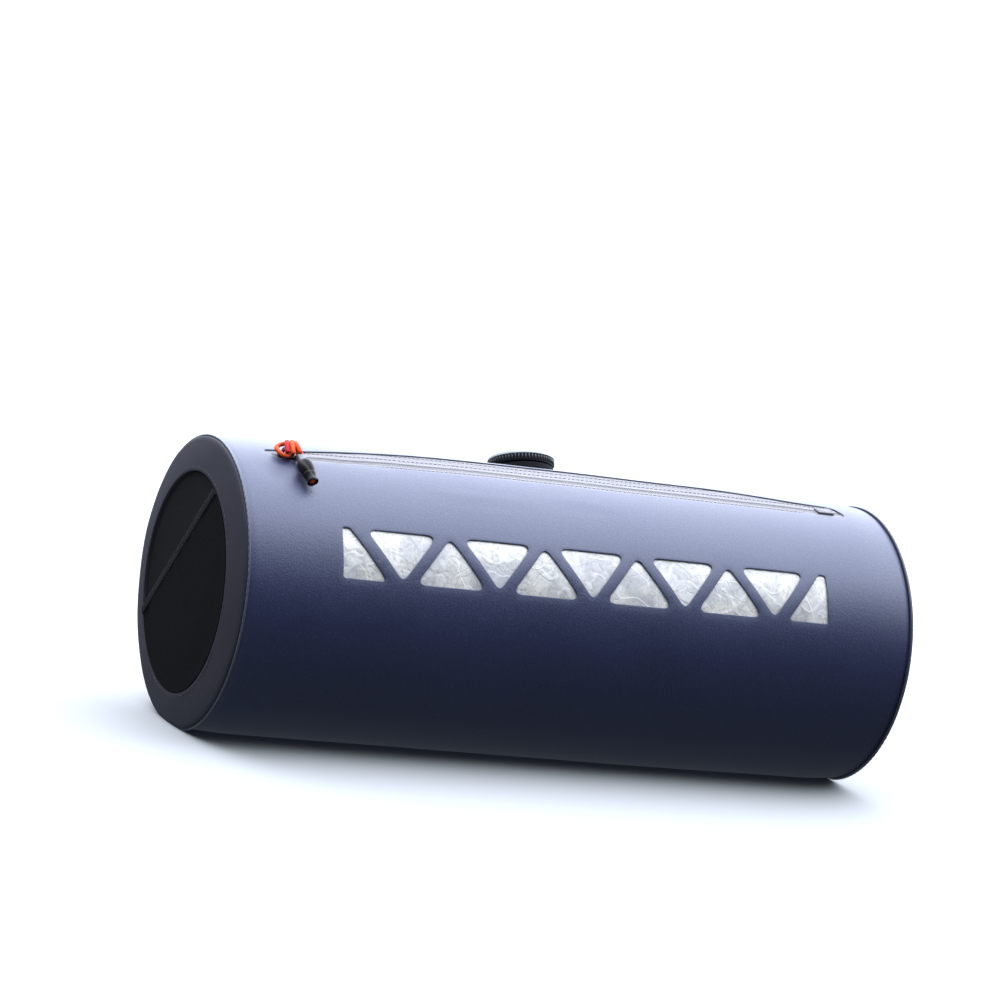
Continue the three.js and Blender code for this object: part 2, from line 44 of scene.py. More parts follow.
bag = {
    "radius": 68 * mm,
    "length": 341 * mm,
    "restDrop": 3 * mm,  # how far the underside is pressed flat
    "restSoft": 1.1 * mm,  # how softly it bends into that flat
    "cloth": 1 * mm,  # outer cloth, over the film and the zip tapes
    "shellHalf": 168.3 * mm,  # the cloth tube ends here, beside the welts
}
axisHeight = bag["radius"] - bag["restDrop"]
halfLength = bag["length"] / 2
clothInner = bag["radius"] - bag["cloth"]


# A height that comes to rest softly on a level below it
def restOn(height, level):
    over = height - level
    return level + (over + math.sqrt(over * over + bag["restSoft"] ** 2)) / 2


# A point on the bag: an angle in degrees above the front horizontal, and a distance from the axis
def onBag(x, degrees, radius):
    turn = math.radians(degrees)
    height = axisHeight + radius * math.sin(turn)
    return Vector((x, -radius * math.cos(turn), restOn(height, max(bag["radius"] - radius, 0))))


# The same place given by how far it lies up the surface
def upSurface(x, up, radius):
    return onBag(x, math.degrees(up / bag["radius"]), radius)


def upFrom(degrees):
    return math.radians(degrees) * bag["radius"]


def outward(degrees):
    return Vector((0, -math.cos(math.radians(degrees)), math.sin(math.radians(degrees))))


def uphill(degrees):
    return Vector((0, math.sin(math.radians(degrees)), math.cos(math.radians(degrees))))


def easeIn(value):
    value = min(max(value, 0), 1)
    return value * value * (3 - 2 * value)


def hump(distance, width):
    return math.exp(-(distance / width) ** 2)


def steps(count):
    return [k / count for k in range(count + 1)]


def placeFrame(place, across, up, out):
    return Matrix.Translation(place) @ Matrix((across, up, out)).transposed().to_4x4()


# A frame on the bag: X along it, Y up the surface, Z away from it
def surfaceFrame(x, degrees, radius):
    return placeFrame(onBag(x, degrees, radius), Vector((1, 0, 0)), uphill(degrees), outward(degrees))


def addObject(name, data):
    item = bpy.data.objects.new(name, data)
    bpy.context.scene.collection.objects.link(item)
    return item


# Camera at the photograph's angle
view = {
    "place": Vector((-0.80285, -1.62077, 0.35078)),
    "across": Vector((0.89803376, -0.40713762, 0.16665629)),
    "up": Vector((-0.09654849, 0.18719428, 0.97756672)),
    "lens": 140.26,  # mm on a 36 mm sensor
}


def makeCamera():
    data = bpy.data.cameras.new("photoCamera")
    data.sensor_width, data.lens, data.clip_end = 36, view["lens"], 100
    camera = addObject("photoCamera", data)
    camera.matrix_world = placeFrame(
        view["place"], view["across"], view["up"], view["across"].cross(view["up"])
    )
    bpy.context.scene.camera = camera


# Shader helpers
def feed(tree, node, values):
    for key, value in values.items():
        if isinstance(value, bpy.types.NodeSocket):
            tree.links.new(value, node.inputs[key])
        else:
            node.inputs[key].default_value = value
    return node


def addNode(tree, kind, values={}, **settings):
    node = tree.nodes.new(kind)
    for key, value in settings.items():
        setattr(node, key, value)
    return feed(tree, node, values)


def sums(tree, operation, first, second=0.0, third=0.0):
    return addNode(tree, "ShaderNodeMath", {0: first, 1: second, 2: third}, operation=operation).outputs[0]


def times(tree, first, second):
    return sums(tree, "MULTIPLY", first, second)


def blendColours(tree, share, first, second):
    node = addNode(tree, "ShaderNodeMix", data_type="RGBA", clamp_factor=True)
    return feed(tree, node, {0: share, 6: first, 7: second}).outputs[2]


def ramp(tree, value, start, end, first=0.0, last=1.0, kind="LINEAR"):
    values = {0: value, 1: start, 2: end, 3: first, 4: last}
    return addNode(tree, "ShaderNodeMapRange", values, interpolation_type=kind).outputs[0]


def noiseAt(tree, place, scale, detail, distortion=0.0):
    values = {"Vector": place, "Scale": scale, "Detail": detail, "Distortion": distortion}
    return addNode(tree, "ShaderNodeTexNoise", values).outputs[0]


def shaderGroup(name, inputs, outputs):
    group = bpy.data.node_groups.new(name, "ShaderNodeTree")
    for label, kind in inputs:
        group.interface.new_socket(label, in_out="INPUT", socket_type="NodeSocket" + kind)
    for label in outputs:
        group.interface.new_socket(label, in_out="OUTPUT", socket_type="NodeSocketFloat")
    return group, group.nodes.new("NodeGroupInput").outputs, group.nodes.new("NodeGroupOutput")


# Over and under threads of a plain weave, on a map in metres
def makeWeaveGroup():
    group, given, result = shaderGroup(
        "plainWeave", [("Map", "Vector"), ("Threads", "Float"), ("Stretch", "Float")], ["Height"]
    )
    parts = addNode(group, "ShaderNodeSeparateXYZ", {0: given["Map"]}).outputs
    turns = times(group, given["Threads"], math.pi)
    across = sums(group, "SINE", times(group, parts[0], turns))
    along = sums(group, "SINE", times(group, parts[1], times(group, turns, given["Stretch"])))
    over = sums(group, "GREATER_THAN", times(group, across, along), 0.0)
    roundAcross, roundAlong = sums(group, "ABSOLUTE", across), sums(group, "ABSOLUTE", along)
    warp = times(group, roundAcross, sums(group, "MULTIPLY_ADD", roundAlong, 0.4, 0.6))
    weft = times(group, roundAlong, sums(group, "MULTIPLY_ADD", roundAcross, 0.4, 0.6))
    sunk = times(group, sums(group, "SUBTRACT", 1.0, over), weft)
    feed(group, result, {"Height": sums(group, "ADD", times(group, over, warp), sunk)})
    return group


# Fine grain and slow blotches that every finish has in its own measure
def makeGrainGroup():
    group, given, result = shaderGroup(
        "fineGrain", [("Place", "Vector"), ("Grain", "Float"), ("Patch", "Float")], ["Height", "Blotch", "Speck"]
    )
    dots = noiseAt(group, given["Place"], times(group, given["Grain"], 1.3), 1.0)
    speck = sums(group, "SMOOTH_MAX", sums(group, "SUBTRACT", dots, 0.56), 0.0, 0.05)
    feed(group, result, {
        "Height": noiseAt(group, given["Place"], given["Grain"], 3.0),
        "Blotch": noiseAt(group, given["Place"], given["Patch"], 2.0), "Speck": times(group, speck, 6.0),
    })
    return group


groups = {"weave": makeWeaveGroup(), "grain": makeGrainGroup()}
finishes = {}  # every material by its name


def useGroup(tree, name, values):
    return feed(tree, addNode(tree, "ShaderNodeGroup", node_tree=groups[name]), values).outputs


def newMaterial(name, **constants):
    material = finishes[name] = bpy.data.materials.new(name)
    material.use_nodes = True
    shader = material.node_tree.nodes["Principled BSDF"]
    for label, value in constants.items():
        shader.inputs[label.replace("_", " ")].default_value = value
    return material, material.node_tree, shader


def objectPlace(tree):
    return addNode(tree, "ShaderNodeTexCoord").outputs["Object"]


def surfaceMap(tree):
    return addNode(tree, "ShaderNodeUVMap", uv_map="surface").outputs[0]


def setRelief(tree, shader, height, distance):
    bump = addNode(tree, "ShaderNodeBump", {"Height": height, "Distance": distance, "Strength": 1.0})
    feed(tree, shader, {"Normal": bump.outputs[0]})


# Two close colours and light specks, and a roughness that wanders a little
def setTone(tree, shader, look, share, grain):
    colour = blendColours(tree, ramp(tree, share, 0.0, 1.0), look["dark"], look["light"])
    colour = blendColours(tree, times(tree, grain["Speck"], look["speckShow"]), colour, look["speck"])
    rough = sums(
        tree, "MULTIPLY_ADD", grain["Blotch"], look["roughSpread"], look["rough"] - look["roughSpread"] / 2
    )
    feed(tree, shader, {"Base Color": colour, "Roughness": rough})


def useGrain(tree, look):
    return useGroup(tree, "grain", {"Place": objectPlace(tree), "Grain": look["grain"], "Patch": look["patch"]})


# Woven cloth; changes are to the look
def clothMaterial(name, look, specular, sheen, **changes):
    look = dict(look, **changes)
    material, tree, shader = newMaterial(name, Specular_IOR_Level=specular, Sheen_Weight=sheen)
    shader.inputs["Specular Tint"].default_value = look["shineTint"]
    weave = useGroup(
        tree, "weave", {"Map": surfaceMap(tree), "Threads": look["threads"], "Stretch": look["stretch"]}
    )
    grain = useGrain(tree, look)
    # Painted shade of the weave: the colour is lighter on raised threads and darker on sunk ones
    share = sums(tree, "ADD", times(tree, weave["Height"], look["paintedThreadShade"]), grain["Blotch"])
    setTone(tree, shader, look, sums(tree, "SUBTRACT", share, 0.5 * look["paintedThreadShade"]), grain)
    rest = times(tree, grain["Height"], 1 - look["threadShare"])
    height = sums(tree, "MULTIPLY_ADD", weave["Height"], look["threadShare"], rest)
    setRelief(tree, shader, height, look["relief"])


def plainMaterial(name, look, changes={}, **constants):
    look = dict(look, **changes)
    material, tree, shader = newMaterial(name, **constants)
    grain = useGrain(tree, look)
    setTone(tree, shader, look, grain["Blotch"], grain)
    setRelief(tree, shader, grain["Height"], look["relief"])


# speckShow: how strongly specks show; grain, patch: specks and blotches per metre; relief in metres
def toLook(dark, light, speck, speckShow, grain, patch, rough, roughSpread, relief):
    return {
        "dark": (*dark, 1), "light": (*light, 1), "speck": (*speck, 1), "speckShow": speckShow, "grain": grain,
        "patch": patch, "rough": rough, "roughSpread": roughSpread, "relief": relief,
    }


# threads per metre and how much longer they are up the surface, how strongly the painted shade of the weave
# shows in the colour (raised threads lighter, sunk ones darker), and the threads' share of the relief
def toCloth(look, threads, stretch, paintedThreadShade, threadShare, shineTint=(1, 1, 1, 1)):
    return dict(
        look, threads=threads, stretch=stretch, paintedThreadShade=paintedThreadShade,
        threadShare=threadShare, shineTint=shineTint,
    )


# dark, light and speck colours, then speckShow, grain, patch, rough, roughSpread, relief
looks = {
    "navy": (
        (0.0075, 0.01, 0.043), (0.0115, 0.0145, 0.06), (0.045, 0.055, 0.14), 0.4, 1250, 26, 0.42, 0.06, 0.00012
    ),
    "end": ((0.019, 0.0165, 0.026), (0.026, 0.023, 0.035), (0.07, 0.07, 0.1), 0.2, 1300, 24, 0.6, 0.1, 0.00006),
    "black": (
        (0.0022, 0.0023, 0.0027), (0.0046, 0.0048, 0.0056),
        (0.016, 0.016, 0.018), 0.18, 1100, 18, 0.82, 0.1, 0.0001,
    ),
    "tape": ((0.095, 0.087, 0.1), (0.155, 0.142, 0.16), (0.26, 0.24, 0.27), 0.15, 1400, 30, 0.5, 0.1, 0.00012),
    "plastic": (
        (0.0035, 0.004, 0.0055), (0.0065, 0.007, 0.009),
        (0.03, 0.03, 0.033), 0.15, 2200, 60, 0.42, 0.12, 0.00003,
    ),
    "rubber": (
        (0.0045, 0.003, 0.0045), (0.01, 0.0075, 0.01), (0.03, 0.028, 0.032), 0.2, 3000, 190, 0.36, 0.2, 0.00003
    ),
    "sleeve": ((0.085, 0.082, 0.1), (0.15, 0.145, 0.17), (0.3, 0.3, 0.32), 0.2, 3200, 220, 0.5, 0.14, 0.00003),
    # the dial's rim: its light grey is a painted highlight of the bevel
    "rim": ((0.38, 0.39, 0.4), (0.54, 0.55, 0.57), (0.7, 0.7, 0.72), 0.2, 2600, 90, 0.34, 0.14, 0.00002),
    "metal": (
        (0.012, 0.013, 0.017), (0.026, 0.028, 0.034), (0.1, 0.1, 0.11), 0.35, 3600, 240, 0.34, 0.2, 0.00002
    ),
    "thread": ((0.05, 0.055, 0.1), (0.1, 0.11, 0.17), (0.3, 0.3, 0.36), 0.3, 4200, 260, 0.5, 0.1, 0.00004),
    "cut": ((0.022, 0.025, 0.045), (0.036, 0.04, 0.066), (0.08, 0.08, 0.1), 0.2, 2600, 200, 0.8, 0.1, 0.00005),
}
looks = {name: toLook(*values) for name, values in looks.items()}
navyCloth = toCloth(looks["navy"], 2600, 1.0, 0.2, 0.16, (0.86, 0.89, 1, 1))
endCloth = toCloth(looks["end"], 1200, 1.0, 0.4, 0.4)
blackCloth = toCloth(looks["black"], 720, 0.62, 0.6, 0.7)
tapeCloth = toCloth(looks["tape"], 1900, 0.5, 0.5, 0.7)

# Crinkled pearl film: silver grey with cool and warm drifts and a darker mottle, and painted highlights and
# painted shade drawn as lighter and darker lines along its folds
filmLook = {
    "cool": (0.385, 0.37, 0.38, 1),
    "warm": (0.58, 0.545, 0.505, 1),
    # the colour of the painted highlights on the folds
    "bright": (0.85, 0.82, 0.80, 1),
    "mottleAndFoldShade": (0.20, 0.187, 0.19, 1),
    "mottle": 420.0,  # per metre, as the next two
    "drift": 75.0,
    "folds": 70.0,
    "relief": 0.00026,
    "mottleShow": 0.42,
    "foldShadeShow": 0.2,
    "foldHighlightShow": 0.24,
}


# A line wherever a warped noise crosses its middle
def foldLines(tree, place, scale, width):
    off = sums(tree, "ABSOLUTE", sums(tree, "SUBTRACT", noiseAt(tree, place, scale, 1.2, 0.9), 0.5))
    return ramp(tree, off, 0.0, width, 1.0, 0.0, "SMOOTHSTEP")


def filmMaterial():
    material, tree, shader = newMaterial("pearlFilm", Metallic=0.12, Coat_Weight=0.25, Coat_Roughness=0.25)
    place = objectPlace(tree)
    drift = noiseAt(tree, place, filmLook["drift"], 5.0)
    shift = {0: place, 1: (0.31, 0.17, 0.05)}
    shifted = addNode(tree, "ShaderNodeVectorMath", shift, operation="ADD").outputs[0]
    # Lines of painted highlight, and of painted shade, along the folds
    light = foldLines(tree, place, filmLook["folds"], 0.055)
    dark = foldLines(tree, shifted, filmLook["folds"] * 1.3, 0.06)
    cloudy = ramp(tree, noiseAt(tree, place, filmLook["mottle"], 3.0, 1.4), 0.47, 0.66)
    colour = blendColours(tree, ramp(tree, drift, 0.36, 0.64), filmLook["cool"], filmLook["warm"])
    for mask, show, over in (
        (cloudy, "mottleShow", "mottleAndFoldShade"), (dark, "foldShadeShow", "mottleAndFoldShade"), (light, "foldHighlightShow", "bright")
    ):
        colour = blendColours(tree, times(tree, mask, filmLook[show]), colour, filmLook[over])
    feed(tree, shader, {"Base Color": colour, "Roughness": sums(tree, "MULTIPLY_ADD", drift, 0.25, 0.3)})
    height = sums(tree, "MULTIPLY_ADD", dark, -0.2, sums(tree, "MULTIPLY_ADD", light, 0.22, drift))
    setRelief(tree, shader, height, filmLook["relief"])


# Braided cord: two sets of strands that cross, on the cord's own map (along, round), with a painted shade that
# is lighter on the strands' crowns and darker in the grooves between them
cordLook = {
    "dark": (0.30, 0.018, 0.004, 1),
    "light": (0.68, 0.075, 0.014, 1),
    "fleck": (0.85, 0.25, 0.1, 1),
    "strands": 900.0,  # per metre of cord
    "turns": 1273.2,  # per metre round it, which is four strands each way on 2 mm of cord
    "grain": 4000.0,
    "patch": 400.0,
    "relief": 0.00012,
}


def cordMaterial(name, **changes):
    look = dict(cordLook, **changes)
    material, tree, shader = newMaterial(name, Specular_IOR_Level=0.15)
    parts = addNode(tree, "ShaderNodeSeparateXYZ", {0: surfaceMap(tree)}).outputs
    along = times(tree, parts[0], look["strands"] * math.pi)
    turn = times(tree, parts[1], look["turns"] * math.pi)
    left, right = (
        sums(tree, "ABSOLUTE", sums(tree, "SINE", sums(tree, way, along, turn))) for way in ("ADD", "SUBTRACT")
    )
    braidHeightAndShade = sums(tree, "SMOOTH_MAX", left, right, 0.2)
    grain = useGrain(tree, look)
    # Painted shade: lighter on strand crowns, darker in the grooves between strands
    colour = blendColours(tree, braidHeightAndShade, look["dark"], look["light"])
    colour = blendColours(tree, times(tree, grain["Speck"], 0.5), colour, look["fleck"])
    feed(
        tree, shader, {"Base Color": colour, "Roughness": sums(tree, "MULTIPLY_ADD", grain["Blotch"], 0.2, 0.5)}
    )
    setRelief(tree, shader, braidHeightAndShade, look["relief"])


def tones(dark, light, **more):
    return dict(dark=(*dark, 1), light=(*light, 1), **more)


clothMaterial("navyCloth", navyCloth, 0.8, 0.0)
clothMaterial("endCloth", endCloth, 0.15, 0.02)
# Partly the piping's own lighter navy, partly a painted highlight: lightened to stand out of the shade of its
# groove
clothMaterial(
    "weltClothPaintedHighlight", endCloth, 0.5, 0.1,
    **tones((0.03, 0.034, 0.065), (0.045, 0.05, 0.09), rough=0.38, threads=1800),
)
clothMaterial("blackMesh", blackCloth, 0.05, 0.0)
clothMaterial(
    "panelCloth", blackCloth, 0.08, 0.0,
    **tones((0.004, 0.004, 0.0045), (0.007, 0.007, 0.0078), threads=1100, stretch=1.0),
)
clothMaterial(
    "hemBand", blackCloth, 0.1, 0.03, threads=1500, stretch=0.4,
    relief=0.00022, light=(0.0045, 0.0045, 0.0052, 1),
)
clothMaterial("zipTape", tapeCloth, 0.5, 0.1)
filmMaterial()
cordMaterial("pullCord")
cordMaterial("deepCord", **tones((0.22, 0.005, 0.006), (0.44, 0.009, 0.009), fleck=(0.6, 0.06, 0.05, 1)))
plainMaterial("greySleeve", looks["sleeve"])
plainMaterial("gripRubber", looks["rubber"], Specular_IOR_Level=0.14)
plainMaterial("dialPlastic", looks["plastic"], Specular_IOR_Level=0.25)
# Painted highlight: the ribs are the dial's black plastic made about ten times lighter, for the light streaks on
# them
plainMaterial("dialRibsPaintedHighlight", looks["plastic"], tones((0.035, 0.036, 0.041), (0.06, 0.062, 0.068)))
# Painted highlight: the rim's light grey stands in for the bevel's reflection
plainMaterial("dialRim", looks["rim"])
plainMaterial("bracketPlastic", looks["plastic"], {"rough": 0.56, "relief": 0.00005}, Specular_IOR_Level=0.3)
plainMaterial("bossPlastic", looks["plastic"], {"rough": 0.7}, Specular_IOR_Level=0.08)
plainMaterial("zipMetal", looks["metal"], Metallic=0.3)
plainMaterial("seamThread", looks["thread"], Sheen_Weight=0.3)
plainMaterial("tapeThread", looks["thread"], tones((0.085, 0.079, 0.092), (0.14, 0.13, 0.148)))
plainMaterial("blackThread", looks["thread"], tones((0.01, 0.01, 0.012), (0.02, 0.02, 0.023)))
# Partly the cut cloth's own navy, partly painted light: lightened to offset the shade on the cut edges
plainMaterial("cutEdgePaintedLight", looks["cut"])
print("materials are built")


# Mesh helpers
def addPiece(name, points, faces, material):
    mesh = bpy.data.meshes.new(name)
    mesh.from_pydata([tuple(point) for point in points], [], faces)
    mesh.shade_smooth()
    mesh.materials.append(finishes[material])
    return addObject(name, mesh)


def gridFaces(columns, rows):
    width = columns + 1
    starts = [j * width + i for j in range(rows) for i in range(columns)]
    return [(a, a + 1, a + 1 + width, a + width) for a in starts]


def ringFaces(rows, sides, capped=False):
    faces = []
    for i in range(rows - 1):
        for k in range(sides):
            a, b = i * sides + k, i * sides + (k + 1) % sides
            faces.append((a, b, b + sides, a + sides))
    if capped:
        faces += [tuple(reversed(range(sides))), tuple(range((rows - 1) * sides, rows * sides))]
    return faces


# The map in metres that a piece's material reads, by vertex
def setMap(piece, spots):
    layer = piece.data.uv_layers.get("surface") or piece.data.uv_layers.new(name="surface")
    for loop in piece.data.loops:
        layer.data[loop.index].uv = spots[loop.vertex_index]


def addSheet(name, place, spanU, spanV, stepsU, stepsV, material):
    us = [spanU[0] + (spanU[1] - spanU[0]) * i / stepsU for i in range(stepsU + 1)]
    vs = [spanV[0] + (spanV[1] - spanV[0]) * j / stepsV for j in range(stepsV + 1)]
    piece = addPiece(name, [place(u, v) for v in vs for u in us], gridFaces(stepsU, stepsV), material)
    setMap(piece, [(u, v) for v in vs for u in us])
    return piece


def editMesh(piece, change):
    work = bmesh.new()
    work.from_mesh(piece.data)
    change(work)
    work.to_mesh(piece.data)
    work.free()


def mergeDoubles(piece, distance):
    def change(work):
        bmesh.ops.remove_doubles(work, verts=work.verts, dist=distance)
        bmesh.ops.dissolve_degenerate(work, edges=work.edges, dist=distance)
    editMesh(piece, change)


def faceOutward(piece):
    editMesh(piece, lambda work: bmesh.ops.recalc_face_normals(work, faces=work.faces))
    return piece


# A sheet's faces made to look the way of a direction
def turnToward(piece, way):
    def change(work):
        bmesh.ops.recalc_face_normals(work, faces=work.faces)
        if sum((face.normal * face.calc_area() for face in work.faces), Vector()).dot(way) < 0:
            bmesh.ops.reverse_faces(work, faces=work.faces)
    editMesh(piece, change)


# The small rings at both ends of a skin of rings are filled, and the skin faces outward
def closeRings(piece):
    def change(work):
        bmesh.ops.holes_fill(work, edges=[edge for edge in work.edges if edge.is_boundary], sides=0)
        bmesh.ops.recalc_face_normals(work, faces=work.faces)
    editMesh(piece, change)
    setSharp(piece, 60)
    return piece


def setSharp(piece, degrees):
    piece.data.set_sharp_from_angle(angle=math.radians(degrees))


def thicken(piece, thickness, rimSlot=0):
    wall = piece.modifiers.new("wall", "SOLIDIFY")
    wall.thickness, wall.offset = thickness, -1
    wall.use_even_offset = True
    wall.material_offset_rim = rimSlot


def soften(piece, width, segments, angle=35):
    edge = piece.modifiers.new("edge", "BEVEL")
    edge.width, edge.segments = width, segments
    edge.limit_method = "ANGLE"
    edge.angle_limit = math.radians(angle)
    edge.use_clamp_overlap = True


# Modifiers applied and lines turned to meshes; the result is a plain mesh at the origin
def settle(piece, sharp=None):
    graph = bpy.context.evaluated_depsgraph_get()
    mesh = bpy.data.meshes.new_from_object(
        piece.evaluated_get(graph), preserve_all_data_layers=True, depsgraph=graph
    )
    mesh.name = piece.name
    piece.modifiers.clear()
    piece.data = mesh
    if sharp is not None:
        mesh.shade_smooth()
        setSharp(piece, sharp)
    return piece


def joinPieces(name, pieces):
    work = bmesh.new()
    slots = []
    for piece in pieces:
        slots += [material for material in piece.data.materials if material not in slots]
        before = len(work.faces)
        work.from_mesh(piece.data)
        work.faces.ensure_lookup_table()
        for face in work.faces[before:]:
            face.material_index = slots.index(piece.data.materials[face.material_index])
    mesh = bpy.data.meshes.new(name)
    work.to_mesh(mesh)
    work.free()
    for material in slots:
        mesh.materials.append(material)
    for piece in pieces:
        bpy.data.objects.remove(piece)
    return addObject(name, mesh)


def finish(piece, slot, *nodes, body="bag"):
    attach(piece, body)
    if nodes:
        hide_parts(*nodes)
    return piece


# Geometry Nodes helpers
def nodeTree(name, inputs):
    tree = bpy.data.node_groups.new(name, "GeometryNodeTree")
    for way in ("INPUT", "OUTPUT"):
        tree.interface.new_socket("Geometry", in_out=way, socket_type="NodeSocketGeometry")
    for label, value in inputs.items():
        kind = "Int" if isinstance(value, int) else "Float"
        tree.interface.new_socket(label, in_out="INPUT", socket_type="NodeSocket" + kind).default_value = value
    tree.interface.new_socket("Material", in_out="INPUT", socket_type="NodeSocketMaterial")
    return tree, tree.nodes.new("NodeGroupInput").outputs


# A line's marks at even steps, each with a place and a rotation
def lineMarks(tree, given, pitch):
    line = addNode(tree, "GeometryNodeMeshToCurve", {0: given["Geometry"]})
    marks = addNode(
        tree, "GeometryNodeCurveToPoints", {"Curve": line.outputs[0], "Length": pitch}, mode="LENGTH"
    )
    return marks.outputs["Points"], marks.outputs["Rotation"]


def threeWays(tree, x, y, z):
    return addNode(tree, "ShaderNodeCombineXYZ", {0: x, 1: y, 2: z}).outputs[0]


# One shape at every point, made real, smooth and coloured
def endTree(tree, given, points, shape, rotation, size):
    copies = addNode(tree, "GeometryNodeInstanceOnPoints", {
        "Points": points, "Instance": shape.outputs[0], "Rotation": rotation, "Scale": size,
    })
    real = addNode(tree, "GeometryNodeRealizeInstances", {0: copies.outputs[0]})
    smooth = addNode(tree, "GeometryNodeSetShadeSmooth", {0: real.outputs[0]})
    done = addNode(
        tree, "GeometryNodeSetMaterial", {"Geometry": smooth.outputs[0], "Material": given["Material"]}
    )
    feed(tree, tree.nodes.new("NodeGroupOutput"), {0: done.outputs[0]})
    return tree


# A row of stitches along a line: each is a small rounded bead laid along the line
def makeStitchTree():
    tree, given = nodeTree(
        "stitchRow", {"Stitch Length": 2.2 * mm, "Gap": 0.8 * mm, "Thread": 0.5 * mm, "Seed": 4}
    )
    points, rotation = lineMarks(tree, given, sums(tree, "ADD", given["Stitch Length"], given["Gap"]))
    bead = addNode(tree, "GeometryNodeMeshUVSphere", {"Segments": 6, "Rings": 5, "Radius": 0.5})
    size = threeWays(tree, given["Thread"], given["Thread"], given["Stitch Length"])
    sway = addNode(tree, "FunctionNodeRandomValue", {2: 0.9, 3: 1.08, "Seed": given["Seed"]}, data_type="FLOAT")
    sized = addNode(tree, "ShaderNodeVectorMath", {0: size, "Scale": sway.outputs[1]}, operation="SCALE")
    return endTree(tree, given, points, bead, rotation, sized.outputs[0])


# Small leaning loops of the zip's seam along a line, which carries the way out of the bag
def makeSeamTree():
    tree, given = nodeTree("zipSeam", {
        "Pitch": 1.2 * mm, "Loop Long": 1.5 * mm, "Loop Wide": 0.8 * mm, "Loop High": 0.5 * mm, "Lean": 0.6,
    })
    points, rotation = lineMarks(tree, given, given["Pitch"])
    loop = addNode(tree, "GeometryNodeMeshUVSphere", {"Segments": 6, "Rings": 4, "Radius": 0.5})
    size = threeWays(tree, given["Loop Wide"], given["Loop High"], given["Loop Long"])
    up = addNode(tree, "GeometryNodeInputNamedAttribute", {"Name": "outside"}, data_type="FLOAT_VECTOR")
    axes = addNode(
        tree, "FunctionNodeAlignRotationToVector", {"Rotation": rotation, "Vector": up.outputs[0]},
        axis="Y", pivot_axis="Z",
    )
    tilt = addNode(tree, "FunctionNodeEulerToRotation", {0: threeWays(tree, 0.0, given["Lean"], 0.0)})
    turned = addNode(
        tree, "FunctionNodeRotateRotation", {0: axes.outputs[0], 1: tilt.outputs[0]}, rotation_space="LOCAL"
    )
    return endTree(tree, given, points, loop, turned.outputs[0], size)


# Bars set round a circle, as on the side of a dial
def makeRingTree():
    tree, given = nodeTree("ringOfBars", {
        "Count": 60, "Ring Radius": 16 * mm, "Bar Wide": 0.9 * mm, "Bar Deep": 0.9 * mm, "Bar Tall": 4 * mm,
    })
    ring = addNode(tree, "GeometryNodeMeshCircle", {"Vertices": given["Count"], "Radius": given["Ring Radius"]})
    size = threeWays(tree, given["Bar Deep"], given["Bar Wide"], given["Bar Tall"])
    bar = addNode(tree, "GeometryNodeMeshCylinder", {"Vertices": 6, "Radius": 0.5, "Depth": 1.0})
    out = addNode(tree, "GeometryNodeInputPosition").outputs[0]
    axes = addNode(tree, "FunctionNodeAlignRotationToVector", {"Vector": out}, axis="X", pivot_axis="Z")
    return endTree(tree, given, ring.outputs[0], bar, axes.outputs[0], size)


trees = {"stitches": makeStitchTree(), "seam": makeSeamTree(), "ring": makeRingTree()}


def growNodes(piece, tree, material, values):
    grow = piece.modifiers.new(tree.name, "NODES")
    grow.node_group = tree
    for item in tree.interface.items_tree:
        if item.name == "Material":
            grow[item.identifier] = finishes[material]
        elif item.name in values:
            grow[item.identifier] = values[item.name]
    return settle(piece)


def addLine(name, points, outside=()):
    mesh = bpy.data.meshes.new(name)
    mesh.from_pydata([tuple(point) for point in points], [(i, i + 1) for i in range(len(points) - 1)], [])
    if outside:
        layer = mesh.attributes.new("outside", "FLOAT_VECTOR", "POINT")
        for i, way in enumerate(outside):
            layer.data[i].vector = way
    return addObject(name, mesh)


# Stitch length, gap and thread of every sewn line, in millimetres
sewing = {
    "welt": (2.3, 0.9, 0.3),
    "hem": (1.9, 0.8, 0.34),
    "cap": (2.4, 1, 0.3),
    "tape": (1.7, 0.6, 0.3),
    "stop": (1.3, 0.5, 0.3),
}


def stitchAlong(name, points, kind, material):
    long, gap, thread = (size * mm for size in sewing[kind])
    values = {"Stitch Length": long, "Gap": gap, "Thread": thread}
    return growNodes(addLine(name, points), trees["stitches"], material, values)


# Closed tube round a list of points, with a map of (along, round) in metres
def addTube(name, points, radius, sides, material):
    rings, spots, across = [], [0], None
    for i, point in enumerate(points):
        ahead = (points[min(i + 1, len(points) - 1)] - points[max(i - 1, 0)]).normalized()
        if across is None:
            across = ahead.cross(Vector((0, 0, 1)))
            if across.length < 0.1:
                across = ahead.cross(Vector((0, 1, 0)))
        across = (across - ahead * across.dot(ahead)).normalized()
        up = ahead.cross(across)
        if i:
            spots.append(spots[-1] + (point - points[i - 1]).length)
        for k in range(sides):
            turn = 2 * math.pi * k / sides
            rings.append(point + (across * math.cos(turn) + up * math.sin(turn)) * radius)
    piece = addPiece(name, rings, ringFaces(len(points), sides, True), material)
    maps = []
    for i in range(len(points) - 1):
        for k in range(sides):
            low, high = 2 * math.pi * radius * k / sides, 2 * math.pi * radius * (k + 1) / sides
            maps += [(spots[i], low), (spots[i], high), (spots[i + 1], high), (spots[i + 1], low)]
    maps += [(0, 0)] * sides + [(spots[-1], 0)] * sides
    layer = piece.data.uv_layers.new(name="surface")
    for i, spot in enumerate(maps):
        layer.data[i].uv = spot
    return piece


# Rings of a tube drawn in toward its path, given as pairs of (ring, share of the radius)
def narrow(tube, path, sides, shares):
    for ring, share in shares:
        for vertex in tube.data.vertices[ring * sides:(ring + 1) * sides]:
            vertex.co = path[ring] + (vertex.co - path[ring]) * share


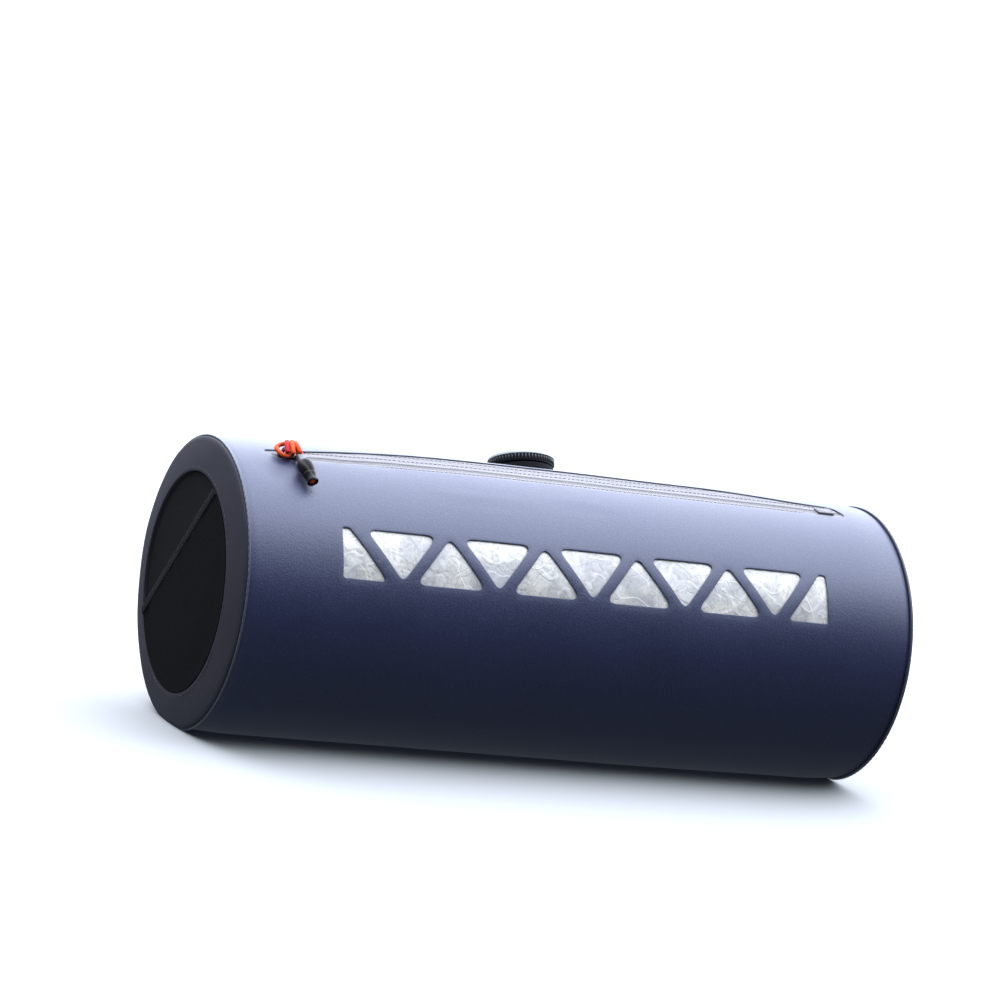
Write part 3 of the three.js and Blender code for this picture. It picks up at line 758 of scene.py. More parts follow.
def smoothPath(points, count):
    path = []
    for i in range(len(points) - 1):
        before, start = points[max(i - 1, 0)], points[i]
        end, after = points[i + 1], points[min(i + 2, len(points) - 1)]
        for t in steps(count)[:-1]:
            path.append(
                0.5 * ((2 * start) + (end - before) * t + (2 * before - 5 * start + 4 * end - after) * t ** 2
                       + (3 * start - before - 3 * end + after) * t ** 3)
            )
    return path + [points[-1]]


# A shape turned round an axis: rows of (distance along, radius)
def addTurned(name, rows, sides, frameOf, material, waves=None):
    points = []
    for far, out in rows:
        for k in range(sides):
            turn = 2 * math.pi * k / sides
            reach = out * (1 + (waves(far, turn) if waves else 0))
            points.append(frameOf @ Vector((reach * math.cos(turn), reach * math.sin(turn), far)))
    return faceOutward(addPiece(name, points, ringFaces(len(rows), sides, True), material))


makeCamera()

# Zip pull: knotted cord through the slider's bridge, grey sleeve, rubber grip
pull = {
    "sliderAlong": 28.5 * mm,  # from the left end of the bag
    "sliderAngle": 73.2,
    "cordWide": 2 * mm,
    "cordSides": 14,
    "sleeveWide": 4 * mm,
    "sleeveTall": 3.6 * mm,
    "sleeveLong": 5.6 * mm,
    "sleeveSides": 28,
    "sleevePlace": (4, 7.6, 2.2),  # its middle, as the cord's places below
    "squareness": 0.6,  # of the sleeve's section: 1 is round
    "gripPlaces": ((2.9, 11, 4.1), (4.9, 24.6, 3.7)),  # its two ends
    "gripLong": 13.6 * mm,
    "gripRadius": 3.4 * mm,
    "mouthShare": 0.54,
    "mouthDeep": 3 * mm,
    "gripSides": 40,
    "creases": 0.17,  # depth of the grip's lengthways folds, as a share of its radius
    "tipRadius": 1.5 * mm,
    "neckRadius": 0.95 * mm,
    "strandRadius": 1.12 * mm,
    "strandSides": 12,
}
# along the bag from the slider, down the front, and over the surface, in millimetres
cordRoute = [
    (3.2, 4.4, 1.6), (3.3, 3.4, 1.65), (4.1, 2, 1.8), (4.7, -0.2, 2), (4.2, -2.6, 2.2), (2, -3.8, 1.9),
    (0.2, -2.2, 1.55), (0, 0, 1.45), (-0.2, 2.4, 1.55), (-1.6, 4.4, 1.8), (-3.8, 4.6, 2), (-5.4, 2.2, 2.2),
    (-5.6, -1, 2.4), (-3.8, -3, 2.9), (-1.4, -2.8, 4), (0.8, -0.8, 4.8), (2.5, 1.4, 4.6), (4.1, 2.6, 3.6),
    (4.8, 3.5, 3), (4.8, 4.4, 2.8),
]
# the knot's strands over the slider's bridge, in the same measure
knotStrands = [
    [
        (-2.4, 4.9, 3.6), (-2.3, 3.2, 4.3), (-1.8, 0.6, 5.1), (-0.9, -2.2, 5.2),
        (0.3, -3.9, 4.3), (1.1, -4.4, 3.2), (1.2, -3.6, 2.4),
    ],
    [
        (0.4, 5.4, 3.5), (0.2, 3.6, 4.6), (0.5, 0.8, 5.5), (1.5, -2, 5.6),
        (2.7, -3.9, 4.7), (3.4, -4.5, 3.5), (3.3, -3.8, 2.5),
    ],
    [(3.9, 4.6, 3.8), (3.3, 2.6, 4.9), (3, 0, 5.5), (3.5, -2.4, 5.1), (4.4, -3.7, 4.2), (5, -3.9, 3.2)],
]
# shares of the length and of the full size
sleeveProfile = [
    (0, 0.8), (0.05, 0.94), (0.14, 1), (0.4, 0.97), (0.5, 0.93), (0.6, 0.97), (0.86, 1), (0.95, 0.94), (1, 0.8)
]
gripProfile = [
    (0, 0.36), (0.02, 0.6), (0.06, 0.82), (0.13, 0.98), (0.22, 1.07), (0.32, 1.09), (0.42, 1.05), (0.51, 0.96),
    (0.57, 0.88), (0.6, 0.82), (0.62, 0.86), (0.66, 0.87), (0.7, 0.8), (0.78, 0.72), (0.86, 0.7), (0.93, 0.76),
    (0.98, 0.78), (1, 0.72),
]


def nearSlider(along, down, over):
    degrees = pull["sliderAngle"] - math.degrees(down * mm / bag["radius"])
    return onBag(pull["sliderAlong"] - halfLength + along * mm, degrees, bag["radius"] + over * mm)


def makeSleeve():
    along, down, over = pull["sleevePlace"]
    place = nearSlider(along, down - pull["sleeveLong"] / mm / 2, over)
    degrees = pull["sliderAngle"] - math.degrees(down * mm / bag["radius"])
    points, sides = [], pull["sleeveSides"]
    for far, full in sleeveProfile:
        for k in range(sides):
            turn = 2 * math.pi * k / sides
            x, y = (
                math.copysign(abs(part) ** pull["squareness"], part) * full / 2
                for part in (math.cos(turn), math.sin(turn))
            )
            spot = place + Vector((x * pull["sleeveWide"], 0, 0)) + outward(degrees) * y * pull["sleeveTall"]
            points.append(spot - uphill(degrees) * far * pull["sleeveLong"])
    faces = ringFaces(len(sleeveProfile), sides, True)
    piece = faceOutward(addPiece("pullSleeve", points, faces, "greySleeve"))
    setSharp(piece, 50)
    return finish(piece, "grey_rubber", "zip_pull_ferrule")


def gripAxis():
    top, end = (nearSlider(*place) for place in pull["gripPlaces"])
    turn = Vector((0, 0, 1)).rotation_difference((end - top).normalized()).to_matrix().to_4x4()
    return Matrix.Translation(top) @ turn


def makeGrip():
    long, wide, sides = pull["gripLong"], pull["gripRadius"], pull["cordSides"]
    rows = [(far * long, out * wide) for far, out in gripProfile]
    mouth = pull["mouthShare"] * wide
    rows += [(long, mouth * 1.12), (long - 0.3 * mm, mouth), (long - pull["mouthDeep"], mouth * 0.94)]

    def folds(far, turn):
        return -pull["creases"] * max(0, math.sin(3 * turn + 260 * far)) ** 4 * easeIn(far / long * 4)

    grip = addTurned("pullGrip", rows, pull["gripSides"], gripAxis(), "gripRubber", folds)
    setSharp(grip, 50)
    path = [gripAxis() @ Vector((0, 0, long - far * mm)) for far in (2.9, 2.2, 1.3, 0.6, 0.3)]
    tip = addTube("pullTip", path, pull["tipRadius"], sides, "pullCord")
    narrow(tip, path, sides, [(3, 0.86), (4, 0.5)])
    return finish(grip, "black_rubber", "zip_pull_grip"), finish(tip, "pull_cord")


# The thin stretch of cord between the sleeve and the grip
def makeNeck():
    along, down, over = pull["sleevePlace"]
    start = nearSlider(along, down + pull["sleeveLong"] / mm / 2 - 0.4, over)
    end = gripAxis() @ Vector((0, 0, 0.4 * mm))
    path = smoothPath([start, start.lerp(end, 0.5) + outward(pull["sliderAngle"]) * 0.1 * mm, end], 6)
    return finish(addTube("pullNeck", path, pull["neckRadius"], pull["cordSides"], "pullCord"), "pull_cord")


def makeKnot():
    strands, sides = [], pull["strandSides"]
    for k, places in enumerate(knotStrands):
        path = smoothPath([nearSlider(*place) for place in places], 6)
        strand = addTube(f"strand{k}", path, pull["strandRadius"], sides, "deepCord" if k == 0 else "pullCord")
        narrow(strand, path, sides, [(0, 0.5), (1, 0.85), (len(path) - 1, 0.5), (len(path) - 2, 0.85)])
        strands.append(faceOutward(strand))
    return finish(joinPieces("pullKnot", strands), "pull_cord")


def makeCord():
    path = smoothPath([nearSlider(*place) for place in cordRoute], 8)
    piece = faceOutward(addTube("pullCord", path, pull["cordWide"] / 2, pull["cordSides"], "pullCord"))
    finish(piece, "pull_cord", "zip_pull_cord")
    sleeve, (grip, tip), neck = makeSleeve(), makeGrip(), makeNeck()
    length = sum((after - before).length for before, after in zip(path, path[1:]))
    tuple(path[0])
    [tuple(point) for point in path]
    makeKnot()
    print(f"pull cord: {length / mm:.0f} mm")


makeCord()


# Window outlines and the zip slot, drawn flat: x along the bag, y up the surface from the front
windows = {
    "angle": 27,
    "band": 23.6 * mm,
    "shift": -0.9 * mm,  # the row's middle, from the bag's
    "pitch": 47.45 * mm,
    "base": 35 * mm,
    "tall": 23 * mm,
    "corner": 2.9 * mm,
    "endCorner": 0.62,  # share of that for the two cut windows
    "count": 5,  # that point down
    "endOuter": 123.8 * mm,
    "endInner": 102.2 * mm,
}
zipLine = {
    "tapeStart": 12 * mm,  # from the left end, as the next three
    "tapeEnd": 325 * mm,
    "seamStart": 16 * mm,
    "seamEnd": 322 * mm,
    "frontAngle": 66,
    "rearAngle": 95,
    "gap": 0.4 * mm,
    "lipProud": 0.9 * mm,  # how far the slot's rear edge stands up in the middle
}
# along the bag as a share of its length, then the angles of the slot's two edges
zipSlot = [
    (0.055, 75.9, 77), (0.066, 70.8, 77.6), (0.105, 70.2, 78.6), (0.165, 71.2, 82.6), (0.265, 72.6, 87.4),
    (0.5, 73, 90), (0.79, 73, 87), (0.88, 73, 83.4), (0.928, 73.2, 82.6), (0.936, 74.2, 75.6),
]
# where the two tapes meet: millimetres from the left end, and the angle
seamPlaces = [(0, 73.4), (30, 73.4), (52, 74.8), (85, 77), (125, 78), (280, 78), (312, 77.2), (341, 77.2)]


def readTable(table, at, column=1):
    for before, after in zip(table, table[1:]):
        if at <= after[0]:
            share = easeIn((at - before[0]) / (after[0] - before[0]))
            return before[column] + (after[column] - before[column]) * share
    return table[-1][column]


# Each point of an outline with the one after it
def sidesOf(outline):
    return zip(outline, outline[1:] + outline[:1])


def roundCorners(corners, radius, count=6):
    outline = []
    for i, corner in enumerate(corners):
        before, after = corners[i - 1] - corner, corners[(i + 1) % len(corners)] - corner
        halfTurn = before.normalized().angle(after.normalized()) / 2
        back = min(radius / math.tan(halfTurn), min(before.length, after.length) * 0.4)
        start, end = corner + before.normalized() * back, corner + after.normalized() * back
        outline += [start * (1 - t) ** 2 + corner * 2 * t * (1 - t) + end * t ** 2 for t in steps(count)]
    return outline


def splitLong(outline, most):
    finer = []
    for point, after in sidesOf(outline):
        finer += [point.lerp(after, t) for t in steps(max(1, math.ceil((after - point).length / most)))[:-1]]
    return finer


def windowOutlines():
    half, tall, halfBand = windows["base"] / 2, windows["tall"], windows["band"] / 2
    inner, outer, lean = windows["endInner"], windows["endOuter"], half / tall * windows["band"]
    shapes = []
    for i in range(2 * windows["count"] - 1):
        x, side = (i - windows["count"] + 1) * windows["pitch"] / 2, 1 if i % 2 else -1
        base = -side * halfBand
        shapes.append((side, 1, [(x - half, base), (x + half, base), (x, base + side * tall)]))
    for side in (-1, 1):
        corners = [(inner, -halfBand), (outer, -halfBand), (outer, halfBand), (inner + lean, halfBand)]
        shapes.append((side, windows["endCorner"], [(side * x, up) for x, up in corners]))
    outlines = []
    for side, share, corners in shapes:
        corners = [Vector((x + windows["shift"], upFrom(windows["angle"]) + up)) for x, up in corners[::side]]
        outlines.append(roundCorners(corners, windows["corner"] * share))
    return outlines


def slotOutline():
    toPoint = lambda row, column: Vector((row[0] * bag["length"] - halfLength, upFrom(row[column])))
    outline = [toPoint(row, 1) for row in zipSlot] + [toPoint(row, 2) for row in reversed(zipSlot)]
    for _ in range(3):  # corners cut three times, so that the edge runs smoothly
        outline = [point.lerp(after, share) for point, after in sidesOf(outline) for share in (0.25, 0.75)]
    return outline


def holds(outline, point):
    inside = False
    for b, a in sidesOf(outline):
        if (a.y > point.y) != (b.y > point.y) and point.x < (b.x - a.x) * (point.y - a.y) / (b.y - a.y) + a.x:
            inside = not inside
    return inside


def nearness(outline, point):
    best = 1.0
    for b, a in sidesOf(outline):
        along = b - a
        share = min(max((point - a).dot(along) / max(along.length_squared, 1e-12), 0), 1)
        best = min(best, (point - a - along * share).length)
    return best


def grown(outline, distance):
    ring = []
    for i, point in enumerate(outline):
        ahead = (outline[(i + 1) % len(outline)] - outline[i - 1]).normalized()
        ring.append(point + Vector((ahead.y, -ahead.x)) * distance)
    return ring


body = {
    "stepAlong": 3.4 * mm,
    "stepsRound": 132,
    "edgeRoll": 0.12 * mm,  # how far a cut edge turns in
    "edgeBand": 0.36 * mm,  # width of that turned edge
    "edgeRoom": 1.1 * mm,  # kept free of grid points beside it
    "sway": 0.35 * mm,  # slow unevenness of the tube
    "edgeThin": 0.35,  # thickness left at a cut edge, as a share
    "bandThin": 0.55,  # and between the windows
    "barrel": 0.5 * mm,  # how far the tube narrows from its middle to its ends
    "endDrop": 1 * mm,  # how far the tube draws in towards its welts
    "endRun": 24 * mm,  # over this length
    "grooveDeep": 0.3 * mm,  # beside the welts
    "creaseLow": 0.28 * mm,
    "creaseAngle": 58.5,
    "creaseFrom": (90, 14),  # millimetres from the left end, and how softly it starts
    "creaseTo": (176, 16),
    "dentDeep": 0.9 * mm,  # soft dent in front of the slider
    "dentLeft": 6 * mm,  # its place from the slider
    "dentBelow": 15 * mm,
    "dentWide": 9 * mm,
    "dentTall": 8 * mm,
    "swayScale": (9, 16),  # along the bag and round it, per metre
    "fineSway": 0.35,  # a finer one, as a share
    "endRings": (0.6, 1.3, 2.1),  # rings of points near each end, in millimetres from it
    "holeStep": 2 * mm,  # longest edge round a window or the slot
}


# How far the cloth stands off its true round
def clothLift(x, up):
    around = upSurface(x, up, bag["radius"])
    long, wide = body["swayScale"]
    lift = body["sway"] * noise.noise(Vector((around.x * long, around.y * wide, around.z * wide)))
    finer = Vector((around.x * 30 + 4, around.y * 40, around.z * 40))
    lift += body["sway"] * body["fineSway"] * noise.noise(finer)
    toEnd = bag["shellHalf"] - abs(x)
    lift -= body["barrel"] * (x / bag["shellHalf"]) ** 2
    lift -= body["endDrop"] * max(1 - toEnd / body["endRun"], 0) ** 2
    lift -= body["grooveDeep"] * hump(toEnd, 1.4 * mm)
    fromLeft = x + halfLength
    (start, startRun), (end, endRun) = body["creaseFrom"], body["creaseTo"]
    alongCrease = easeIn((fromLeft / mm - start) / startRun) * (1 - easeIn((fromLeft / mm - end) / endRun))
    offCrease = up - upFrom(body["creaseAngle"]) - 0.9 * mm * math.sin(fromLeft * 40)
    crease = hump(offCrease, 1.3 * mm) - 0.7 * hump(offCrease + 2.4 * mm, 1.6 * mm)
    lift += body["creaseLow"] * alongCrease * crease
    dentX = fromLeft - pull["sliderAlong"] + body["dentLeft"]
    dentUp = up - upFrom(pull["sliderAngle"]) + body["dentBelow"]
    return lift - body["dentDeep"] * hump(dentX, body["dentWide"]) * hump(dentUp, body["dentTall"])


# The share of the bag's length if a place lies beside the slot, or else None
def alongSlot(x):
    share = (x + halfLength) / bag["length"]
    return share if zipSlot[0][0] < share < zipSlot[-1][0] else None


def slotLift(x, up):
    share = alongSlot(x)
    if share is None:
        return 0
    past = up - upFrom(readTable(zipSlot, share, 2))
    middle = easeIn((share - 0.1) / 0.25) * (1 - easeIn((share - 0.72) / 0.2))
    return zipLine["lipProud"] * middle * hump(past, (7 if past > 0 else 4.5) * mm)


def makeBody():
    outlines = [splitLong(outline, body["holeStep"]) for outline in windowOutlines() + [slotOutline()]]
    spans = [[(min(p[axis] for p in o), max(p[axis] for p in o)) for axis in (0, 1)] for o in outlines]

    def nearHole(point, margin):
        return any(
            all(span[0] - margin < value < span[1] + margin for value, span in zip(point, box))
            and (holds(outline, point) or (margin and nearness(outline, point) < margin))
            for outline, box in zip(outlines, spans)
        )

    def thinness(point):
        inBand = abs(point.y - upFrom(windows["angle"])) < windows["band"] / 2 + 3 * mm
        return body["bandThin"] if inBand and abs(point.x) < windows["endOuter"] + 3.5 * mm else 1

    places, rolls, thins, edges = [], [], [], []
    low, high = upFrom(-90), upFrom(270)
    xs = [bag["shellHalf"] * (2 * t - 1) for t in steps(math.ceil(2 * bag["shellHalf"] / body["stepAlong"]))]
    xs += [side * (bag["shellHalf"] - far * mm) for side in (-1, 1) for far in body["endRings"]]
    xs.sort()
    for x in xs:
        for t in steps(body["stepsRound"]):
            point = Vector((x, low + (high - low) * t))
            if not nearHole(point, body["edgeBand"] + body["edgeRoom"]):
                places.append(point)
                rolls.append(0)
                thins.append(thinness(point))
    for outline in outlines:
        for share, roll in ((0, 1), (0.5, 0.3), (1, 0)):
            start, ring = len(places), grown(outline, body["edgeBand"] * share)
            places += ring
            rolls += [-body["edgeRoll"] * roll] * len(ring)
            thins += [body["edgeThin"]] * len(ring)
            edges += [(start + i, start + (i + 1) % len(ring)) for i in range(len(ring))]
    points, _, faces, origins, _, _ = geometry.delaunay_2d_cdt(places, edges, [], 0, 1e-7)
    kept = [tuple(f) for f in faces if not nearHole(sum((points[i] for i in f), Vector((0, 0))) / len(f), 0)]
    shaped = []
    for point, origin in zip(points, origins):
        roll = rolls[origin[0]] if origin else 0
        lift = clothLift(point.x, point.y) + slotLift(point.x, point.y) + roll
        shaped.append(upSurface(point.x, point.y, bag["radius"] + lift))
    piece = addPiece("bagBody", shaped, kept, "navyCloth")
    piece.data.materials.append(finishes["cutEdgePaintedLight"])
    setMap(piece, points)
    thin = piece.vertex_groups.new(name="thin")
    for i, origin in enumerate(origins):
        thin.add([i], thins[origin[0]] if origin else 1, "REPLACE")

    def clean(work):
        bmesh.ops.remove_doubles(work, verts=work.verts, dist=0.02 * mm)
        bmesh.ops.delete(work, geom=[vertex for vertex in work.verts if not vertex.link_faces], context="VERTS")

    editMesh(piece, clean)
    thicken(piece, bag["cloth"], rimSlot=1)
    piece.modifiers["wall"].vertex_group = "thin"
    settle(piece, sharp=50)
    print(f"body cloth: {len(piece.data.polygons)} faces")
    return finish(piece, "navy_cloth", "body_shell")


makeBody()


# Crinkled film behind the windows
film = {
    "halfLength": 129.8 * mm,
    "margin": 6 * mm,
    "outer": 66.95 * mm,
    "thick": 0.3 * mm,
    "step": 0.9 * mm,
    "rise": 0.42 * mm,  # how far it comes up into the windows
    "crinkle": 0.5 * mm,  # deepest fold
}


def makeFilm():
    half, middle, halfLong = windows["band"] / 2 + film["margin"], upFrom(windows["angle"]), film["halfLength"]

    def place(x, up):
        folds = noise.ridged_multi_fractal(Vector((x * 38, up * 38, 0)), 0.9, 2.1, 4, 1.0, 2.0) / 2.4
        broad = noise.noise(Vector((x * 40, up * 55, 7)))
        inside = min(halfLong - abs(x), half - abs(up - middle))
        drop = film["crinkle"] * easeIn(inside / (3 * mm)) * min(max(0.62 - 0.55 * folds + 0.35 * broad, 0), 1)
        rise = film["rise"] * easeIn((inside - 2.8 * mm) / (2.4 * mm)) + clothLift(x, up)
        return upSurface(x, up, film["outer"] + rise - drop)

    columns, rows = round(2 * halfLong / film["step"]), round(2 * half / film["step"])
    piece = addSheet(
        "windowFilm", place, (-halfLong, halfLong), (middle - half, middle + half), columns, rows, "pearlFilm"
    )
    thicken(piece, film["thick"])
    settle(piece)
    print(f"film: {len(piece.data.polygons)} faces")
    return finish(piece, "pearl_film", "window_film")


makeFilm()


# Ends: a shallow cloth cone with a recess for the black panel and its pocket, and a welt round the rim
ends = {
    "capThick": 2 * mm,
    "bulge": 3.4 * mm,
    "recess": 2.2 * mm,
    "panelRadius": 50 * mm,
    "panelThick": 0.8 * mm,
    "pocketThick": 1 * mm,
    "hemWide": 5 * mm,
    "hemThick": 1.6 * mm,
    "hemFront": 68.6,
    "hemRear": 204,
    "rimIn": 1.7 * mm,  # the cap's rim lies this far inside the bag's round
    "weltRadius": 0.55 * mm,
    "weltPlace": 66.75 * mm,  # its middle, from the bag's axis
    "weltBack": 1.25 * mm,  # and back from the end
    "gap": 0.3 * mm,
    "sides": 144,
    "columns": 56,  # across the panel and its pocket
    "weltSides": 16,
    "weltSewn": 52,  # where its stitches lie, in degrees round the piping
    "seamSteps": 180,
    "hemRows": (1.2, 3.9),  # stitched lines, in millimetres from the pocket's edge
    "hemSteps": 120,
}
endSlope = ends["bulge"] / (bag["radius"] - ends["panelRadius"])
recessRadius = ends["panelRadius"] + ends["gap"]
coneAt = lambda radius: endSlope * (bag["radius"] - radius)
recessFloor = coneAt(recessRadius) - ends["recess"]


def endPoint(side, degrees, radius, out):
    turn = math.radians(degrees)
    height = restOn(axisHeight + radius * math.sin(turn), 0)
    return Vector((side * (halfLength + out), -radius * math.cos(turn), height))


# A closed skin of rings, given as rows of (radius, distance out from the rim), round one end
def endRings(name, side, rows, material, shape=lambda radius, degrees: 0):
    sides, points = ends["sides"], []
    for radius, out in rows:
        for k in range(sides):
            degrees = 360 * k / sides
            points.append(endPoint(side, degrees, radius, out + shape(radius, degrees)))
    piece = addPiece(name, points, ringFaces(len(rows), sides), material)
    layer = piece.data.uv_layers.new(name="surface")
    run = [0]
    for before, after in zip(rows, rows[1:]):
        run.append(run[-1] + math.dist(before, after))
    for polygon in piece.data.polygons:
        around = [vertex % sides for vertex in polygon.vertices]
        for index, vertex, turn in zip(polygon.loop_indices, polygon.vertices, around):
            if turn == 0 and max(around) > sides / 2:
                turn = sides
            layer.data[index].uv = (turn / sides * 2 * math.pi * bag["radius"], run[vertex // sides])
    return piece


def makeCap(side, label):
    lip, thick, edge = coneAt(recessRadius), ends["capThick"], bag["radius"] - ends["rimIn"]
    rows = [
        (1 * mm, recessFloor), (recessRadius - 0.3 * mm, recessFloor), (recessRadius, recessFloor + 0.3 * mm)
    ]
    rows += [
        (recessRadius + over * mm, lip - under * mm) for over, under in ((0, 0.5), (0.15, 0.12), (0.6, 0.06))
    ]
    for share in (0.12, 0.24, 0.36, 0.48, 0.6, 0.72, 0.84, 0.93):
        radius = recessRadius + (edge - recessRadius) * share
        rows.append((radius, coneAt(radius) + 0.25 * mm * math.sin(math.pi * share)))
    rows += [(edge - 0.3 * mm, 0.16 * mm), (edge, -0.1 * mm), (edge, -thick + 0.2 * mm)]
    rows += [(edge - 0.4 * mm, -thick), (60 * mm, -thick + 0.4 * mm), (1 * mm, recessFloor - thick)]

    def uneven(radius, degrees):
        if not 51 * mm < radius < 67 * mm:
            return 0
        x, y = outward(degrees).yz
        return 0.22 * mm * noise.noise(Vector((radius * 60, -x * 3, y * 3 + side)))

    piece = closeRings(endRings("endCap" + label, side, rows, "endCloth", uneven))
    return finish(piece, "end_cloth", "end_cap_" + label.lower())


def makeWelt(side, label):
    reach, place, back = ends["weltRadius"], ends["weltPlace"], -ends["weltBack"]
    spot = lambda turn, far: (place + far * math.cos(turn), back + far * math.sin(turn))
    rows = [spot(2 * math.pi * t, reach) for t in steps(ends["weltSides"])]
    piece = endRings("endWelt" + label, side, rows, "weltClothPaintedHighlight")
    mergeDoubles(piece, 1e-5)
    faceOutward(piece)
    sewn = spot(math.radians(ends["weltSewn"]), reach + 0.02 * mm)
    seam = [endPoint(side, 360 * t, *sewn) for t in steps(ends["seamSteps"])]
    finish(stitchAlong("weltStitches" + label, seam, "welt", "seamThread"), "welt_piping")
    return finish(piece, "welt_piping", "end_welt_" + label.lower())


# The pocket's straight edge: its middle, its direction, the way into the pocket and half its length
def pocketEdge():
    front, rear = (endPoint(1, ends[name], ends["panelRadius"], 0) for name in ("hemFront", "hemRear"))
    middle = (front + rear) / 2
    middle.x = 0
    into = (Vector((0, 0, axisHeight)) - middle).normalized()
    return middle, (rear - front).normalized(), into, (rear - front).length / 2


# A flat piece of the disc on one side of a line: rows run along the line, out to the disc's rim
def discPart(name, side, nearest, farthest, outFace, thick, step, material, shape):
    middle, along, into, _ = pocketEdge()
    centre, radius = Vector((0, 0, axisHeight)), ends["panelRadius"]
    depth, columns = (centre - middle).length, ends["columns"]
    rows = max(2, round((farthest - nearest) / step))
    points, spots = [], []
    for away in (nearest + (farthest - nearest) * t for t in steps(rows)):
        half = math.sqrt(max(radius ** 2 - (away - depth) ** 2, 0))
        for t in steps(columns):
            run = half * (t - 0.5 - math.cos(math.pi * t) * 0.5)
            place = middle + into * away + along * run
            place.x = side * (halfLength + outFace + shape(away, run, radius - (place - centre).length))
            points.append(place)
            spots.append((run, away))
    piece = addPiece(name, points, gridFaces(columns, rows), material)
    setMap(piece, spots)
    mergeDoubles(piece, 2e-5)
    turnToward(piece, Vector((side, 0, 0)))
    thicken(piece, thick)
    return settle(piece, sharp=60)


def makeEndCloth(side, label):
    middle, along, into, halfEdge = pocketEdge()
    reach = ends["panelRadius"] - 0.02 * mm
    depth = (Vector((0, 0, axisHeight)) - middle).length
    panelOut = recessFloor + ends["gap"] + ends["panelThick"]
    pocketOut, hemOut = (panelOut + ends["gap"] + ends[name] for name in ("pocketThick", "hemThick"))
    hemWide = ends["hemWide"]

    def sag(away, run, rim):
        return 0.25 * mm * noise.noise(Vector((away * 50, run * 50, side))) * easeIn(rim / (6 * mm)) - 0.15 * mm

    def stretch(away, run, rim):  # the mesh fills out a little and draws into short folds below the hem
        folds = 0.25 * mm * math.sin(run * 420 + 2 * math.sin(run * 90)) * math.exp(-(away - hemWide) / (7 * mm))
        return 0.5 * mm * easeIn(rim / (22 * mm)) + folds * easeIn(rim / (8 * mm)) - 0.1 * mm

    def rolled(away, run, rim):
        return -0.7 * mm * abs(2 * away / hemWide - 1) ** 4 + 0.12 * mm * math.sin(run * 1900)

    # name, node, nearest and farthest row, outer face, thickness, step, material, shape
    for name, node, nearest, farthest, out, thick, step, material, shape in (
        (
            "endPanel", "end_panel_", depth - reach, depth + reach,
            panelOut, ends["panelThick"] * 0.8, 2, "panelCloth", sag,
        ),
        (
            "endPocket", "end_pocket_", hemWide + 0.1 * mm, depth + reach,
            pocketOut, ends["pocketThick"] * 0.8, 1.6, "blackMesh", stretch,
        ),
        (
            "pocketHem", "pocket_hem_", 0.1 * mm, hemWide - 0.1 * mm,
            hemOut, ends["hemThick"] * 0.55, 0.4, "hemBand", rolled,
        ),
    ):
        piece = discPart(name + label, side, nearest, farthest, out, thick, step * mm, material, shape)
        finish(piece, "black_cloth", node + label.lower())

    rows = []
    for away in ends["hemRows"]:
        start, reach = middle + into * away * mm, halfEdge - 1.5 * mm
        line = [start + along * reach * (2 * t - 1) for t in steps(ends["hemSteps"])]
        for place in line:
            place.x = side * (halfLength + hemOut - 0.02 * mm)
        rows.append(stitchAlong(f"hemStitches{label}{away:.0f}", line, "hem", "blackThread"))
    finish(joinPieces("hemStitches" + label, rows), "black_cloth")
    ring = recessRadius + 1.6 * mm
    bound = [endPoint(side, 360 * t, ring, coneAt(ring) + 0.05 * mm) for t in steps(ends["seamSteps"])]
    finish(stitchAlong("capStitches" + label, bound, "cap", "blackThread"), "end_cloth")


for side, label in ((-1, "Left"), (1, "Right")):
    makeCap(side, label)
    makeWelt(side, label)
    makeEndCloth(side, label)
print("ends are built")


# Zip: two ribbed tapes, the seam of small loops, slider and end stop
tapes = {
    "outer": 66.85 * mm,
    "thick": 0.6 * mm,
    "shown": 0.72 * mm,  # how far the tapes rise in the slot
    "ribPitch": 1.6 * mm,
    "ribHigh": 0.14 * mm,
    "rows": (-4.3, 4.9, 9.8),  # sewn lines, in millimetres up from the seam
    "seamRise": 0.35 * mm,
    "seamWide": 2.2 * mm,
    "loopOff": 0.72 * mm,  # each row of loops, from the seam's middle
    "seamSteps": 150,
    "grid": (156, 56),  # steps along a tape and up it
    "loops": {
        "Pitch": 1.25 * mm, "Loop Long": 1.35 * mm, "Loop Wide": 0.75 * mm, "Loop High": 0.5 * mm, "Lean": 0.6
    },
}


def seamUp(x):
    return upFrom(readTable(seamPlaces, (x + halfLength) / mm))


# How far a place lies inside the slot: 1 in it, 0 under the cloth
def inSlot(x, up):
    share = alongSlot(x)
    if share is None:
        return 0
    front, rear = (upFrom(readTable(zipSlot, share, column)) for column in (1, 2))
    return easeIn((up - front) / (1.6 * mm) + 1) * easeIn((rear - up) / (1.6 * mm) + 1)


def tapePoint(x, up, fromSeam, over=0):
    ribs = tapes["ribHigh"] * (math.cos(2 * math.pi * fromSeam / tapes["ribPitch"]) - 1) / 2
    rise = tapes["seamRise"] * (hump(fromSeam - 1.2 * mm, tapes["seamWide"] / 2) - 1) * 0.4
    lift = tapes["shown"] * inSlot(x, up) + slotLift(x, up) + clothLift(x, up)
    return upSurface(x, up, tapes["outer"] + ribs + rise + lift + over)


